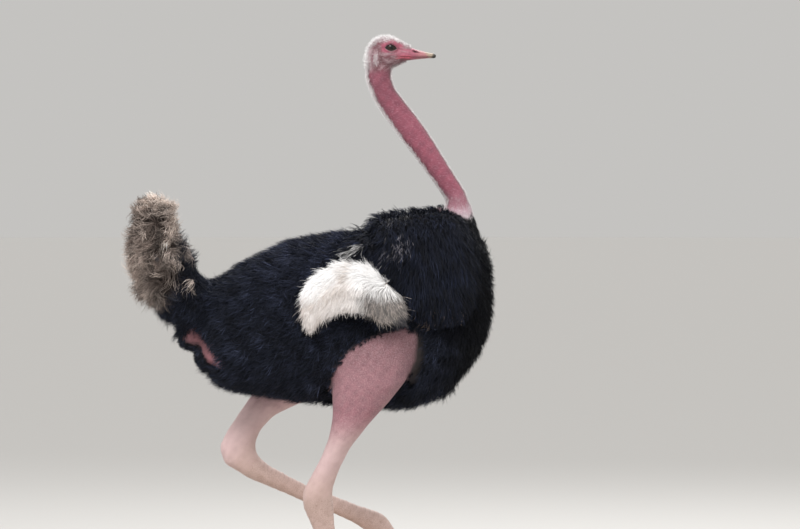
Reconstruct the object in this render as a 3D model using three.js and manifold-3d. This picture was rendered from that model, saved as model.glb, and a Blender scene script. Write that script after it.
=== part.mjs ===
// An adult male ostrich, still and life size, walking: it stands on its right foot and swings
// its left leg forward, with the neck drawn back, the wings folded and the tail plumes raised.
// Millimetres. +X is the way it walks, +Y its left side, +Z up. The origin is the middle of the
// underside of the base plate.

import * as THREE from 'three';
import { mergeVertices } from 'three/addons/utils/BufferGeometryUtils.js';
import Module from 'manifold-3d';

const wasm = await Module();
wasm.setup();

// ---- driving dimensions ----

const GAP = 0.3; // kept between neighbouring pieces
const RIGHT = -1;
const LEFT = 1;

const BASE = { length: 900, width: 560, thick: 25, corner: 60, bevel: 5 };

const HEAD_AT = new THREE.Vector3(86, 0, 1812); // middle of the neck where the head starts
const HEAD_TURN = THREE.MathUtils.degToRad(-14); // the head looks a little to its right
const EYE = { forward: 38, out: 23.5, up: 95, radius: 23 };
const MOUTH = { back: 40, backUp: 64, tip: 178, tipUp: 67 }; // the line between the two bills
const BILL_ROOT = { forward: 98, up: 80, lean: 0.12 }; // where horn meets skin

const NECK_CUTS = [0.335, 0.56]; // where the neck is parted, as shares of its sections
const NECK_ROOT_CUT = { x: 340, z: 1428, lean: 0.62 }; // where the bare neck leaves the plumage

const TOE = { long: 178, longHeight: 62, longHalf: 31, short: 108, shortHeight: 46, shortHalf: 21 };
const LEFT_WING_FORWARD = 46; // the left wing is drawn forward past the right one
const SHORT_TOE_SPREAD = THREE.MathUtils.degToRad(34);

// ---- materials ----

function finish(color, roughness) {
  return new THREE.MeshStandardMaterial({ color, roughness, metalness: 0 });
}

const pinkSkin = finish(0x9c7276, 0.7);
const legSkin = finish(0xa8808a, 0.72);
const shankSkin = finish(0xc4ab9c, 0.65);
const headSkin = finish(0xb09494, 0.7);
const horn = finish(0xa98684, 0.45);
const clawHorn = finish(0x4c423c, 0.5);
const eyeball = finish(0x241c1c, 0.1);
const blackFeather = finish(0x25262b, 0.85);
const whiteFeather = finish(0xe4dfdb, 0.9);
const brownFeather = finish(0x6a5f5a, 0.9);
const callus = finish(0x796a56, 0.8);
const plate = finish(0xb9b2a6, 0.6);

// ---- solids ----

// A closed three.js geometry as a solid, whichever way its faces were wound.
function solidOf(geometry) {
  const bare = geometry.index ? geometry.toNonIndexed() : geometry.clone();
  for (const name of Object.keys(bare.attributes)) {
    if (name !== 'position') {
      bare.deleteAttribute(name);
    }
  }
  const merged = mergeVertices(bare, 1e-3);
  const triangles = [];
  for (let i = 0; i < merged.index.count; i += 3) {
    const corners = [0, 1, 2].map((k) => merged.index.getX(i + k));
    if (new Set(corners).size === 3) {
      triangles.push(corners);
    }
  }
  const points = merged.attributes.position;
  const corner = (index) => new THREE.Vector3().fromBufferAttribute(points, index);
  const volume = triangles.reduce(
    (sum, [a, b, c]) => sum + corner(a).dot(corner(b).cross(corner(c))), 0);
  const wound = volume > 0 ? triangles : triangles.map(([a, b, c]) => [a, c, b]);
  return new wasm.Manifold(new wasm.Mesh({
    numProp: 3,
    vertProperties: new Float32Array(points.array),
    triVerts: new Uint32Array(wound.flat()),
  }));
}

function geometryOf(solid) {
  const mesh = solid.getMesh();
  const geometry = new THREE.BufferGeometry();
  geometry.setAttribute('position', new THREE.BufferAttribute(mesh.vertProperties, 3));
  geometry.setIndex(new THREE.BufferAttribute(mesh.triVerts, 1));
  return geometry;
}

// The same solid with every corner moved out along its normal.
function grown(solid, by = GAP * 1.3) {
  const geometry = geometryOf(solid);
  geometry.computeVertexNormals();
  const { position, normal } = geometry.attributes;
  for (let i = 0; i < position.count; i += 1) {
    position.setXYZ(
      i,
      position.getX(i) + by * normal.getX(i),
      position.getY(i) + by * normal.getY(i),
      position.getZ(i) + by * normal.getZ(i));
  }
  return solidOf(geometry);
}

// The largest body of a solid, without the slivers that a cut can leave.
function largest(solid) {
  return solid.decompose().sort((a, b) => b.volume() - a.volume())[0];
}

// A solid less its neighbours, with the gap kept to each.
function clearOf(solid, ...neighbours) {
  return largest(neighbours.reduce((rest, other) => rest.subtract(grown(other)), solid));
}

function joined(solids) {
  return solids.reduce((whole, next) => whole.add(next));
}

// The part of a solid that lies ahead of a plane, given by a point on it and its direction.
function ahead(solid, point, direction) {
  const reach = 3000;
  const block = new THREE.BoxGeometry(reach, reach, reach);
  block.translate(0, 0, reach / 2 + GAP / 2);
  const turn = new THREE.Quaternion().setFromUnitVectors(
    new THREE.Vector3(0, 0, 1), direction.clone().normalize());
  block.applyQuaternion(turn);
  block.translate(point.x, point.y, point.z);
  return largest(solid.intersect(solidOf(block)));
}

// ---- lofts ----

// One section of a loft: the two ends of its height, in the plane y = yTop or yBottom, and
// half its width.
function section(topX, topZ, bottomX, bottomZ, half, yTop = 0, yBottom = yTop) {
  return {
    top: new THREE.Vector3(topX, yTop, topZ),
    bottom: new THREE.Vector3(bottomX, yBottom, bottomZ),
    half,
  };
}

// Smooth curves through the sections' tops, bottoms and half widths, by share of the loft.
function rails(sections) {
  const tops = new THREE.CatmullRomCurve3(sections.map((s) => s.top));
  const bottoms = new THREE.CatmullRomCurve3(sections.map((s) => s.bottom));
  const halves = new THREE.CatmullRomCurve3(
    sections.map((s, i) => new THREE.Vector3(i, s.half, 0)));
  return (share) => {
    const top = tops.getPoint(share);
    const bottom = bottoms.getPoint(share);
    const up = top.clone().sub(bottom);
    const height = up.length() / 2;
    up.normalize();
    const across = new THREE.Vector3(0, 1, 0).addScaledVector(up, -up.y).normalize();
    return {
      middle: top.add(bottom).multiplyScalar(0.5), up, across, height,
      half: halves.getPoint(share).y,
    };
  };
}

// A round-ended body through its sections. A lathed spindle of radius 1 is bent onto them:
// `ends` is the share of the length over which the first and the last end close, and `square`
// is the power of the section's rounding, 2 for an ellipse.
function loft(sections, { around = 16, rows = 12, ends = [0.12, 0.12], square = 2 } = {}) {
  const at = rails(sections);
  const profile = [];
  for (let row = 0; row <= rows; row += 1) {
    const even = row / rows;
    const share = (even + 0.5 - 0.5 * Math.cos(Math.PI * even)) / 2;
    const toEnd = Math.min(share / ends[0], (1 - share) / ends[1], 1);
    const radius = row === 0 || row === rows ? 0 : Math.sqrt(1 - (1 - toEnd) ** 2);
    profile.push(new THREE.Vector2(radius, share));
  }
  const body = new THREE.LatheGeometry(profile, around);
  const points = body.attributes.position;
  for (let i = 0; i < points.count; i += 1) {
    const ring = at(points.getY(i));
    const angle = Math.atan2(points.getZ(i), points.getX(i));
    const bulge = (
      Math.abs(Math.cos(angle)) ** square + Math.abs(Math.sin(angle)) ** square) ** (-1 / square);
    const point = ring.middle
      .addScaledVector(ring.up, ring.height * points.getX(i) * bulge)
      .addScaledVector(ring.across, ring.half * points.getZ(i) * bulge);
    points.setXYZ(i, point.x, point.y, point.z);
  }
  return solidOf(body);
}

// A drooping plume: a tapered body along an arc that leaves `root` in the direction `out` and
// falls by `droop` by its tip.
function plume(root, out, length, droop, thick, { around = 7, rows = 5 } = {}) {
  const tip = root.clone().addScaledVector(out, length);
  const crest = root.clone().addScaledVector(out, length * 0.6);
  tip.z -= droop;
  crest.z -= droop * 0.22;
  const spine = new THREE.QuadraticBezierCurve3(root, crest, tip);
  const stations = [0, 0.35, 0.7, 1].map((share) => {
    const middle = spine.getPoint(share);
    const along = spine.getTangent(share);
    const up = new THREE.Vector3().crossVectors(along, new THREE.Vector3(0, 1, 0));
    up.normalize().multiplyScalar(-thick * (1 - 0.35 * share));
    return {
      top: middle.clone().add(up), bottom: middle.clone().sub(up), half: thick * (1 - 0.4 * share),
    };
  });
  return loft(stations, { around, rows, ends: [0.25, 0.6] });
}

function ball(x, y, z, radius, stretch = [1, 1, 1], segments = [12, 9]) {
  const geometry = new THREE.SphereGeometry(radius, ...segments);
  geometry.rotateX(Math.PI / 2);
  geometry.scale(...stretch);
  geometry.translate(x, y, z);
  return solidOf(geometry);
}

// ---- neck ----

const neckSections = [
  section(235, 1322, 438, 1238, 75),
  section(283, 1392, 412, 1350, 52),
  section(310, 1411, 369, 1446, 35),
  section(246, 1512, 304, 1548, 34),
  section(170, 1609, 236, 1654, 35),
  section(109, 1692, 171, 1737, 34),
  section(79, 1737, 142, 1772, 33),
  section(57, 1788, 127, 1801, 33),
  section(50, 1819, 123, 1819, 33),
  section(50, 1850, 123, 1850, 33),
];
const wholeNeck = loft(neckSections, { around: 12, rows: 17, ends: [0.05, 0.03] });
const rootPlane = {
  point: new THREE.Vector3(NECK_ROOT_CUT.x, 0, NECK_ROOT_CUT.z),
  direction: new THREE.Vector3(-NECK_ROOT_CUT.lean, 0, 1),
};
const neckPlanes = [rootPlane, ...NECK_CUTS.map((share) => {
  const at = rails(neckSections);
  const point = at(share).middle;
  return { point, direction: at(share + 0.01).middle.sub(at(share - 0.01).middle) };
}), { point: HEAD_AT, direction: new THREE.Vector3(0, 0, 1) }];

function between(solid, low, high) {
  return ahead(ahead(solid, low.point, low.direction), high.point, high.direction.clone().negate());
}

const neckRoot = ahead(wholeNeck, rootPlane.point, rootPlane.direction.clone().negate());
const neckLower = between(wholeNeck, neckPlanes[0], neckPlanes[1]);
const neckMiddle = between(wholeNeck, neckPlanes[1], neckPlanes[2]);
const neckUpper = between(wholeNeck, neckPlanes[2], neckPlanes[3]);

// ---- head, in its own frame: x along the bill, z up, from the middle of the neck's top ----

const skull = loft([
  section(-40, 72, -40, 46, 14),
  section(-27, 106, -34, 22, 28),
  section(-4, 124, -12, 14, 36),
  section(20, 131, 18, 22, 40),
  section(46, 126, 44, 36, 42),
  section(68, 116, 66, 45, 37),
  section(90, 103, 88, 54, 30),
  section(116, 91, 114, 60, 25),
], { around: 16, rows: 11, ends: [0.2, 0.04] });
const nape = loft([
  section(-36, -20, 37, -20, 33),
  section(-36, 10, 37, 10, 33),
  section(-37, 45, 40, 36, 33),
  section(-30, 85, 44, 62, 32),
  section(-12, 105, 40, 80, 28),
], { around: 12, rows: 6, ends: [0.05, 0.25] });
const eyes = [RIGHT, LEFT].map((side) => ball(
  EYE.forward, side * EYE.out, EYE.up, EYE.radius, [1, 1, 1], [12, 9]));
const brows = [RIGHT, LEFT].map((side) => ball(
  EYE.forward + 2, side * (EYE.out + 4), EYE.up + 3, EYE.radius, [1.15, 0.88, 1], [10, 8]));
const bill = loft([
  section(88, 102, 86, 54, 30),
  section(112, 91, 110, 57, 27.5),
  section(138, 84, 137, 60, 23),
  section(160, 79, 160, 62, 18.5),
  section(176, 75.5, 176, 63, 13),
  section(179, 71, 179, 66, 7),
], { around: 14, rows: 7, ends: [0.05, 0.1] });

const billRoot = {
  point: new THREE.Vector3(BILL_ROOT.forward, 0, BILL_ROOT.up),
  direction: new THREE.Vector3(1, 0, -BILL_ROOT.lean),
};
const mouth = {
  point: new THREE.Vector3(MOUTH.back, 0, MOUTH.backUp),
  direction: new THREE.Vector3(MOUTH.backUp - MOUTH.tipUp, 0, MOUTH.tip - MOUTH.back),
};
const wholeBill = ahead(bill, billRoot.point, billRoot.direction);
const billUpper = ahead(wholeBill, mouth.point, mouth.direction);
const billLower = ahead(wholeBill, mouth.point, mouth.direction.clone().negate());
const bareHead = ahead(
  ahead(joined([skull, nape, ...brows]), new THREE.Vector3(), new THREE.Vector3(0, 0, 1)),
  billRoot.point, billRoot.direction.clone().negate());
const head = clearOf(bareHead, ...eyes);

// ---- legs: each section gives the front edge first ----

// The standing leg leans back from the hip to the ankle and forward from the ankle to the toes.
const standingLeg = [
  section(196, 1070, -40, 1062, 62, -128),
  section(172, 985, -86, 930, 80, -146),
  section(142, 877, -102, 822, 80, -148),
  section(71, 791, -99, 738, 66, -140),
  section(-18, 690, -121, 652, 46, -125),
  section(-60, 606, -158, 575, 37, -105),
  section(-82, 538, -184, 519, 41, -90),
  section(-78, 478, -171, 462, 34, -80),
  section(-72, 416, -141, 400, 26, -75),
  section(-46, 275, -106, 266, 23, -65),
  section(-16, 166, -75, 150, 24, -55),
  section(12, 100, -60, 82, 33, -45),
  section(26, 52, -50, 46, 33, -42),
];
// The swinging leg is bent at the ankle, with the shank carried nearly level.
const swingingLeg = [
  section(70, 1040, -150, 1085, 60, 120),
  section(26, 965, -183, 1005, 78, 135),
  section(-20, 865, -228, 894, 82, 140),
  section(-120, 796, -296, 814, 66, 140),
  section(-236, 742, -343, 748, 48, 135),
  section(-272, 692, -384, 690, 42, 125),
  section(-282, 652, -404, 634, 42, 120),
  section(-264, 617, -350, 579, 37, 120),
  section(-206, 583, -234, 529, 31, 120),
  section(-112, 533, -137, 483, 25, 120),
  section(-15, 497, -40, 444, 23, 120),
  section(67, 464, 42, 407, 26, 120),
  section(126, 444, 84, 376, 33, 120),
  section(150, 414, 100, 368, 30, 120),
];
const LEG_ROWS = 18;
const legRound = { around: 12, rows: LEG_ROWS, ends: [0.07, 0.05] };
const legs = { [RIGHT]: loft(standingLeg, legRound), [LEFT]: loft(swingingLeg, legRound) };
const ankles = {
  [RIGHT]: { point: new THREE.Vector3(-121, -88, 508), direction: new THREE.Vector3(-0.22, 0, 1) },
  [LEFT]: { point: new THREE.Vector3(-296, 120, 605), direction: new THREE.Vector3(-0.72, 0, 0.7) },
};

// A foot lies flat in its own frame, with its soles at z = 0 and the shank's end over x = 0.
// `side` is the side the short outer toe is on.
function foot(side) {
  const { long, longHeight, longHalf, short, shortHeight, shortHalf } = TOE;
  const longToe = loft([
    section(-52, 58, -52, 4, 24),
    section(-14, 76, -20, -4, 33),
    section(long * 0.3, longHeight, long * 0.3, -4, longHalf),
    section(long * 0.62, longHeight * 0.8, long * 0.62, -4, longHalf * 0.94),
    section(long * 0.86, longHeight * 0.68, long * 0.86, -4, longHalf * 0.84),
    section(long, longHeight * 0.42, long, 2, longHalf * 0.5),
  ], { around: 10, rows: 7, ends: [0.12, 0.14] });
  const shortShape = [
    section(-10, 44, -10, 0, 20),
    section(short * 0.35, shortHeight, short * 0.35, -3, shortHalf),
    section(short * 0.7, shortHeight * 0.82, short * 0.7, -3, shortHalf * 0.95),
    section(short, shortHeight * 0.5, short, 2, shortHalf * 0.55),
  ];
  const spread = new THREE.Matrix4().makeRotationZ(side * SHORT_TOE_SPREAD);
  spread.setPosition(-8, side * 14, 0);
  const shortGeometry = geometryOf(loft(shortShape, { around: 8, rows: 6, ends: [0.16, 0.2] }));
  const shortToe = solidOf(shortGeometry.applyMatrix4(spread));
  const claw = loft([
    section(long * 0.8, longHeight * 0.72, long * 0.8, longHeight * 0.3, 15),
    section(long * 0.98, longHeight * 0.56, long * 0.98, longHeight * 0.12, 17),
    section(long * 1.14, longHeight * 0.3, long * 1.14, longHeight * 0.07, 10),
    section(long * 1.2, longHeight * 0.16, long * 1.2, longHeight * 0.05, 5),
  ], { around: 8, rows: 5, ends: [0.2, 0.2] });
  const floor = new THREE.Vector3(0, 0, GAP / 2);
  const onFloor = (solid) => ahead(solid, floor, new THREE.Vector3(0, 0, 1));
  const clawFlat = onFloor(claw);
  const longFlat = onFloor(longToe);
  const shortFlat = onFloor(shortToe);
  return {
    big: clearOf(longFlat, clawFlat),
    small: clearOf(shortFlat, longFlat),
    claw: clawFlat,
    uncut: [longFlat, shortFlat, clawFlat],
  };
}

// A foot's pieces, tipped and set where the leg ends.
function placedFoot(side, at, tip) {
  const place = new THREE.Matrix4().makeRotationY(tip);
  place.setPosition(at);
  const pieces = foot(side);
  const moved = (solid) => solidOf(geometryOf(solid).applyMatrix4(place));
  return {
    big: moved(pieces.big), small: moved(pieces.small), claw: moved(pieces.claw),
    uncut: pieces.uncut.map(moved),
  };
}

const feet = {
  [RIGHT]: placedFoot(RIGHT, new THREE.Vector3(-14, -43, BASE.thick), 0),
  [LEFT]: placedFoot(LEFT, new THREE.Vector3(92, 120, 374), THREE.MathUtils.degToRad(42)),
};
const legPieces = [RIGHT, LEFT].map((side) => {
  const { point, direction } = ankles[side];
  const { big, small, claw, uncut } = feet[side];
  const drumstick = ahead(legs[side], point, direction);
  const shank = ahead(legs[side], point, direction.clone().negate());
  return { side, drumstick, shank: clearOf(shank, ...uncut), big, small, claw };
});
const drumsticks = legPieces.map((leg) => leg.drumstick);

// ---- plumage ----

const trunkForm = loft([
  section(-502, 1131, -480, 926, 95),
  section(-441, 1172, -425, 858, 135),
  section(-361, 1231, -345, 834, 170),
  section(-264, 1279, -264, 819, 190),
  section(-167, 1317, -167, 803, 205),
  section(-55, 1331, -55, 791, 215),
  section(58, 1342, 58, 781, 215),
  section(171, 1374, 171, 778, 210),
  section(267, 1392, 258, 803, 200),
  section(348, 1386, 341, 869, 178),
  section(403, 1340, 404, 958, 140),
  section(437, 1259, 445, 1041, 95),
], { around: 22, rows: 16, ends: [0.07, 0.07], square: 2.25 });

// The folded wing: shoulder and coverts, from behind the back's hump to the chest. It can be
// drawn `forward` a little.
function wing(side, forward = 0) {
  const rib = (topX, topZ, bottomX, bottomZ, half, yTop, yBottom) => section(
    topX + forward, topZ, bottomX + forward * 0.6, bottomZ, half, side * yTop, side * yBottom);
  return loft([
    rib(-48, 1306, -74, 1236, 28, 150, 208),
    rib(14, 1356, -14, 1196, 48, 116, 216),
    rib(80, 1394, 42, 1156, 58, 88, 220),
    rib(159, 1411, 117, 1094, 62, 76, 222),
    rib(242, 1416, 198, 1050, 64, 70, 222),
    rib(323, 1396, 283, 1056, 60, 76, 210),
    rib(384, 1300, 358, 1110, 40, 104, 172),
  ], { around: 14, rows: 10, ends: [0.14, 0.12] });
}

// The white wing plumes: a fan of drooping lobes that hang from under the coverts.
function wingPlumes(side) {
  const body = loft([
    section(112, 1130, 112, 1050, 18, side * 250, side * 262),
    section(63, 1186, 51, 1046, 27, side * 246, side * 262),
    section(0, 1241, -26, 1084, 29, side * 240, side * 260),
    section(-75, 1251, -92, 1088, 29, side * 232, side * 256),
    section(-149, 1227, -139, 1074, 28, side * 228, side * 252),
    section(-207, 1174, -172, 1054, 24, side * 226, side * 246),
    section(-232, 1108, -190, 1044, 16, side * 226, side * 242),
  ], { around: 10, rows: 8, ends: [0.14, 0.16] });
  const hind = plume(
    new THREE.Vector3(-196, side * 240, 1110), new THREE.Vector3(0.12, 0, -1).normalize(), 84, 2, 27);
  const fore = plume(
    new THREE.Vector3(60, side * 256, 1090), new THREE.Vector3(0.8, 0, -0.6).normalize(), 66, 2, 24);
  return joined([body, hind, fore]);
}

// The tail: a black base, and over it a club of drooping plumes.
const tailForm = loft([
  section(-392, 1150, -470, 990, 85),
  section(-456, 1168, -560, 1040, 104),
  section(-494, 1210, -650, 1120, 122),
  section(-526, 1275, -704, 1214, 132),
  section(-551, 1345, -716, 1304, 128),
  section(-575, 1412, -704, 1388, 106),
  section(-596, 1456, -684, 1446, 70),
], { around: 14, rows: 10, ends: [0.12, 0.13] });
const tailPlane = {
  point: new THREE.Vector3(-562, 0, 1196),
  direction: new THREE.Vector3(-0.92, 0, 0.4),
};
const tailBase = ahead(tailForm, tailPlane.point, tailPlane.direction.clone().negate());
const tailClub = ahead(tailForm, tailPlane.point, tailPlane.direction);
const PLUME_ROWS = [
  { count: 2, height: 1190, reach: -600, spread: 62, length: 104, rise: -0.35 },
  { count: 3, height: 1275, reach: -610, spread: 84, length: 112, rise: 0.2 },
  { count: 3, height: 1372, reach: -606, spread: 76, length: 104, rise: 0.9 },
];
const tailPlumes = PLUME_ROWS.flatMap(({ count, height, reach, spread, length, rise }) => (
  Array.from({ length: count }, (_, i) => {
    const share = (2 * i) / (count - 1) - 1;
    const root = new THREE.Vector3(reach + 22 * Math.abs(share), share * spread, height);
    const out = new THREE.Vector3(-1, share * 0.42, rise).normalize();
    return plume(root, out, length, 36, 62);
  })
));

const wings = [wing(RIGHT), wing(LEFT, LEFT_WING_FORWARD)].map(
  (form) => clearOf(form, ...drumsticks));
const wingFans = [RIGHT, LEFT].map((side, i) => clearOf(wingPlumes(side), wings[i], ...drumsticks));
const ventLobes = [
  ball(-510, 0, 1006, 30, [1.45, 1.5, 1.3], [12, 8]),
  ball(-464, 0, 950, 30, [1.2, 1.7, 1.4], [12, 8]),
];
const ventSwelling = joined(ventLobes);
const breastPad = ball(286, 0, 862, 46, [0.95, 0.72, 1.2], [10, 7]);
const tailStart = clearOf(tailBase, ...ventLobes);
const tail = clearOf(joined([tailClub, ...tailPlumes]), tailStart, ...ventLobes);
const trunk = clearOf(
  joined([trunkForm, neckRoot]),
  neckLower, ...drumsticks, ...wings, ...wingFans, tailStart, tail, ...ventLobes, breastPad);

// ---- base plate ----

function basePlate() {
  const { length, width, thick, corner, bevel } = BASE;
  const x = length / 2 - bevel;
  const y = width / 2 - bevel;
  const r = corner - bevel;
  const outline = new THREE.Shape();
  outline.absarc(x - r, y - r, r, 0, Math.PI / 2);
  outline.absarc(r - x, y - r, r, Math.PI / 2, Math.PI);
  outline.absarc(r - x, r - y, r, Math.PI, Math.PI * 1.5);
  outline.absarc(x - r, r - y, r, Math.PI * 1.5, Math.PI * 2);
  const slab = new THREE.ExtrudeGeometry(outline, {
    depth: thick - 2 * bevel, bevelThickness: bevel, bevelSize: bevel, bevelSegments: 1,
    curveSegments: 4,
  });
  slab.translate(0, 0, bevel);
  return solidOf(slab);
}

// ---- the scene graph ----

const ostrich = new THREE.Group();
const headGroup = new THREE.Group();
headGroup.position.copy(HEAD_AT);
headGroup.rotation.z = HEAD_TURN;
ostrich.add(headGroup);

function put(name, solid, material, group = ostrich) {
  const mesh = new THREE.Mesh(geometryOf(solid), material);
  mesh.name = name;
  group.add(mesh);
}

const SIDE_NAME = { [RIGHT]: 'right', [LEFT]: 'left' };

put('head', head, headSkin, headGroup);
put('bill_upper', billUpper, horn, headGroup);
put('bill_lower', billLower, horn, headGroup);
put('eye_right', eyes[0], eyeball, headGroup);
put('eye_left', eyes[1], eyeball, headGroup);
put('neck_upper', neckUpper, pinkSkin);
put('neck_middle', neckMiddle, pinkSkin);
put('neck_lower', neckLower, pinkSkin);
put('trunk', trunk, blackFeather);
put('breast_pad', breastPad, callus);
put('vent', ventSwelling, pinkSkin);
put('tail_base', tailStart, blackFeather);
put('tail', tail, brownFeather);
for (const { side, drumstick, shank, big, small, claw } of legPieces) {
  const name = SIDE_NAME[side];
  put(`drumstick_${name}`, drumstick, legSkin);
  put(`shank_${name}`, shank, shankSkin);
  put(`toe_long_${name}`, big, shankSkin);
  put(`toe_short_${name}`, small, shankSkin);
  put(`claw_${name}`, claw, clawHorn);
}
[RIGHT, LEFT].forEach((side, i) => {
  put(`wing_${SIDE_NAME[side]}`, wings[i], blackFeather);
  put(`wing_plumes_${SIDE_NAME[side]}`, wingFans[i], whiteFeather);
});
put('stand_base', basePlate(), plate);

export default ostrich;
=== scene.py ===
"""The ostrich's looks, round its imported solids: one skin, fine horn and eyes, and a feather coat.

Metres, in the solids' own frame: +X is the way the bird walks, +Y its left side, +Z up.
"""

import math

import bmesh
import bpy
import numpy as np
from mathutils import Matrix, Vector
from mathutils.bvhtree import BVHTree


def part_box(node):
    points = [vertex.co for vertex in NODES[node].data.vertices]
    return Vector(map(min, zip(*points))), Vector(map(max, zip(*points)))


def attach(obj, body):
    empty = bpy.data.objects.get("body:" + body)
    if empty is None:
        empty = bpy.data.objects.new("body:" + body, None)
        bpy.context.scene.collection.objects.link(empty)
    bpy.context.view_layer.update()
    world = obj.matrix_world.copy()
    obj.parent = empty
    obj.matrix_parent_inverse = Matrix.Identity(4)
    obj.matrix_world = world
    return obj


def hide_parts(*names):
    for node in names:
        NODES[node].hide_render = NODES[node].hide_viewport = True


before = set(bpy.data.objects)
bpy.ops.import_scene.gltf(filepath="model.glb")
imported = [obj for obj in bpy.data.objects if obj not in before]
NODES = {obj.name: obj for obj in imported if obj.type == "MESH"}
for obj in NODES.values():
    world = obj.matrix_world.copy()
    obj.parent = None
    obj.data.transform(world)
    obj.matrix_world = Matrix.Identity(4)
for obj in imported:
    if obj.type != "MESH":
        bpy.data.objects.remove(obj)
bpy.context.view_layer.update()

MM = 0.001
RIGHT, LEFT = -1, 1
SIDE_NAME = {RIGHT: "right", LEFT: "left"}

# The head's own frame: x along the bill, y to the bird's left, z up, from the neck's top.
HEAD_TURN = math.radians(-14)
NECK_TOP = Vector((0.086, 0.0, 1.812))
HEAD_PLACE = Matrix.Translation(NECK_TOP) @ Matrix.Rotation(HEAD_TURN, 4, "Z")
EYE_AT = np.array((38.0, 23.5, 95.0)) * MM
EYE_RADIUS = 23 * MM

NECK = ["neck_upper", "neck_middle", "neck_lower"]
WINGS = ["wing_right", "wing_left"]
EYES = ["eye_right", "eye_left"]
BILL = ["bill_upper", "bill_lower"]
CLAWS = ["claw_right", "claw_left"]
DRUMSTICKS = ["drumstick_right", "drumstick_left"]
SHANKS = ["shank_right", "shank_left"]
TOES = ["toe_long_right", "toe_short_right", "toe_long_left", "toe_short_left"]
FLESH = (["head"] + NECK + ["trunk", "breast_pad", "vent", "tail_base"]
         + DRUMSTICKS + SHANKS + TOES)
SKIN_NODES = FLESH + WINGS + EYES + BILL + CLAWS


# ---- camera, light and floor ----

VIEW_TURN = math.radians(-14)
VIEW_LIFT = math.radians(1.5)
VIEW_RANGE = 20.0
VIEW_WIDTH = 2.5
VIEW_SHIFT_RIGHT = 0.15
VIEW_HEIGHT = 1.2297
SENSOR_WIDTH = 36
ROOM_COLOR = (1.0, 0.985, 0.965)
ROOM_LIGHT = 1.02
WALL_SHARE = 1.085
FLOOR_COLOR = (0.50, 0.492, 0.478)
FLOOR_RADIUS = 60
FLOOR_DROP = 0.0005
LAMPS = {"key": ((-3.0, -5.0, 6.5), 450), "rim": ((3.0, 5.5, 6.0), 300)}
LAMP_SIZE = 3.0
LAMP_AIM = Vector((0, 0, 1.2))


def placed(name, data):
    """A new object in the scene, at the origin."""
    thing = bpy.data.objects.new(name, data)
    bpy.context.scene.collection.objects.link(thing)
    return thing


def mesh_from(name, bm):
    """A mesh with what is in the bmesh, which isn't needed after that."""
    mesh = bpy.data.meshes.new(name)
    bm.to_mesh(mesh)
    bm.free()
    return mesh


def camera():
    right = Vector((math.cos(VIEW_TURN), math.sin(VIEW_TURN), 0))
    back = Vector((math.sin(VIEW_TURN) * math.cos(VIEW_LIFT),
                   -math.cos(VIEW_TURN) * math.cos(VIEW_LIFT), math.sin(VIEW_LIFT)))
    target = right * VIEW_SHIFT_RIGHT + Vector((0, 0, VIEW_HEIGHT))
    lens = bpy.data.cameras.new("camera")
    lens.sensor_width = SENSOR_WIDTH
    lens.lens = SENSOR_WIDTH * VIEW_RANGE / VIEW_WIDTH
    lens.clip_end = 10 * VIEW_RANGE
    eye = placed("camera", lens)
    eye.location = target + back * VIEW_RANGE
    eye.rotation_euler = (-back).to_track_quat("-Z", "Y").to_euler()
    bpy.context.scene.camera = eye


def studio():
    """Soft light from a pale room, whose far wall meets the floor without a horizon."""
    world = bpy.data.worlds.new("studio")
    bpy.context.scene.world = world
    world.use_nodes = True
    tree = world.node_tree
    room = tree.nodes["Background"]
    room.inputs["Color"].default_value = (*ROOM_COLOR, 1)
    room.inputs["Strength"].default_value = ROOM_LIGHT
    wall = tree.nodes.new("ShaderNodeBackground")
    wall.inputs["Color"].default_value = (*FLOOR_COLOR, 1)
    wall.inputs["Strength"].default_value = ROOM_LIGHT * WALL_SHARE
    seen = tree.nodes.new("ShaderNodeLightPath")
    either = tree.nodes.new("ShaderNodeMixShader")
    tree.links.new(seen.outputs["Is Camera Ray"], either.inputs[0])
    tree.links.new(room.outputs[0], either.inputs[1])
    tree.links.new(wall.outputs[0], either.inputs[2])
    tree.links.new(either.outputs[0], tree.nodes["World Output"].inputs["Surface"])
    for name, (at, watts) in LAMPS.items():
        light = bpy.data.lights.new(name, "AREA")
        light.shape = "SQUARE"
        light.size = LAMP_SIZE
        light.energy = watts
        lamp = placed(name, light)
        lamp.location = at
        lamp.rotation_euler = (LAMP_AIM - Vector(at)).to_track_quat("-Z", "Y").to_euler()


def floor():
    bm = bmesh.new()
    bmesh.ops.create_circle(bm, cap_ends=True, segments=64, radius=FLOOR_RADIUS)
    stage = placed("floor", mesh_from("floor", bm))
    stage.location.z = -FLOOR_DROP
    stage.data.materials.append(Finish("floor", Base_Color=FLOOR_COLOR, Roughness=0.9).material)


# ---- shader nodes ----

class Wire:
    """A socket of a material, so that shader maths reads as an expression."""

    def __init__(self, finish, socket):
        self.finish = finish
        self.socket = socket

    def _math(self, operation, *values, **settings):
        return self.finish.node("ShaderNodeMath", {"operation": operation, **settings},
                                dict(enumerate(values)))

    def __add__(self, other):
        return self._math("ADD", self, other)

    def __sub__(self, other):
        return self._math("SUBTRACT", self, other)

    def __mul__(self, other):
        return self._math("MULTIPLY", self, other)

    def __rsub__(self, other):
        return self._math("SUBTRACT", other, self)

    def clip(self):
        """The value, held between 0 and 1."""
        return self._math("ADD", self, 0.0, use_clamp=True)

    def zigzag(self):
        """The value, folded to and fro between 0 and 0.5."""
        return self._math("PINGPONG", self, 0.5)

    __radd__ = __add__
    __rmul__ = __mul__


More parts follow.
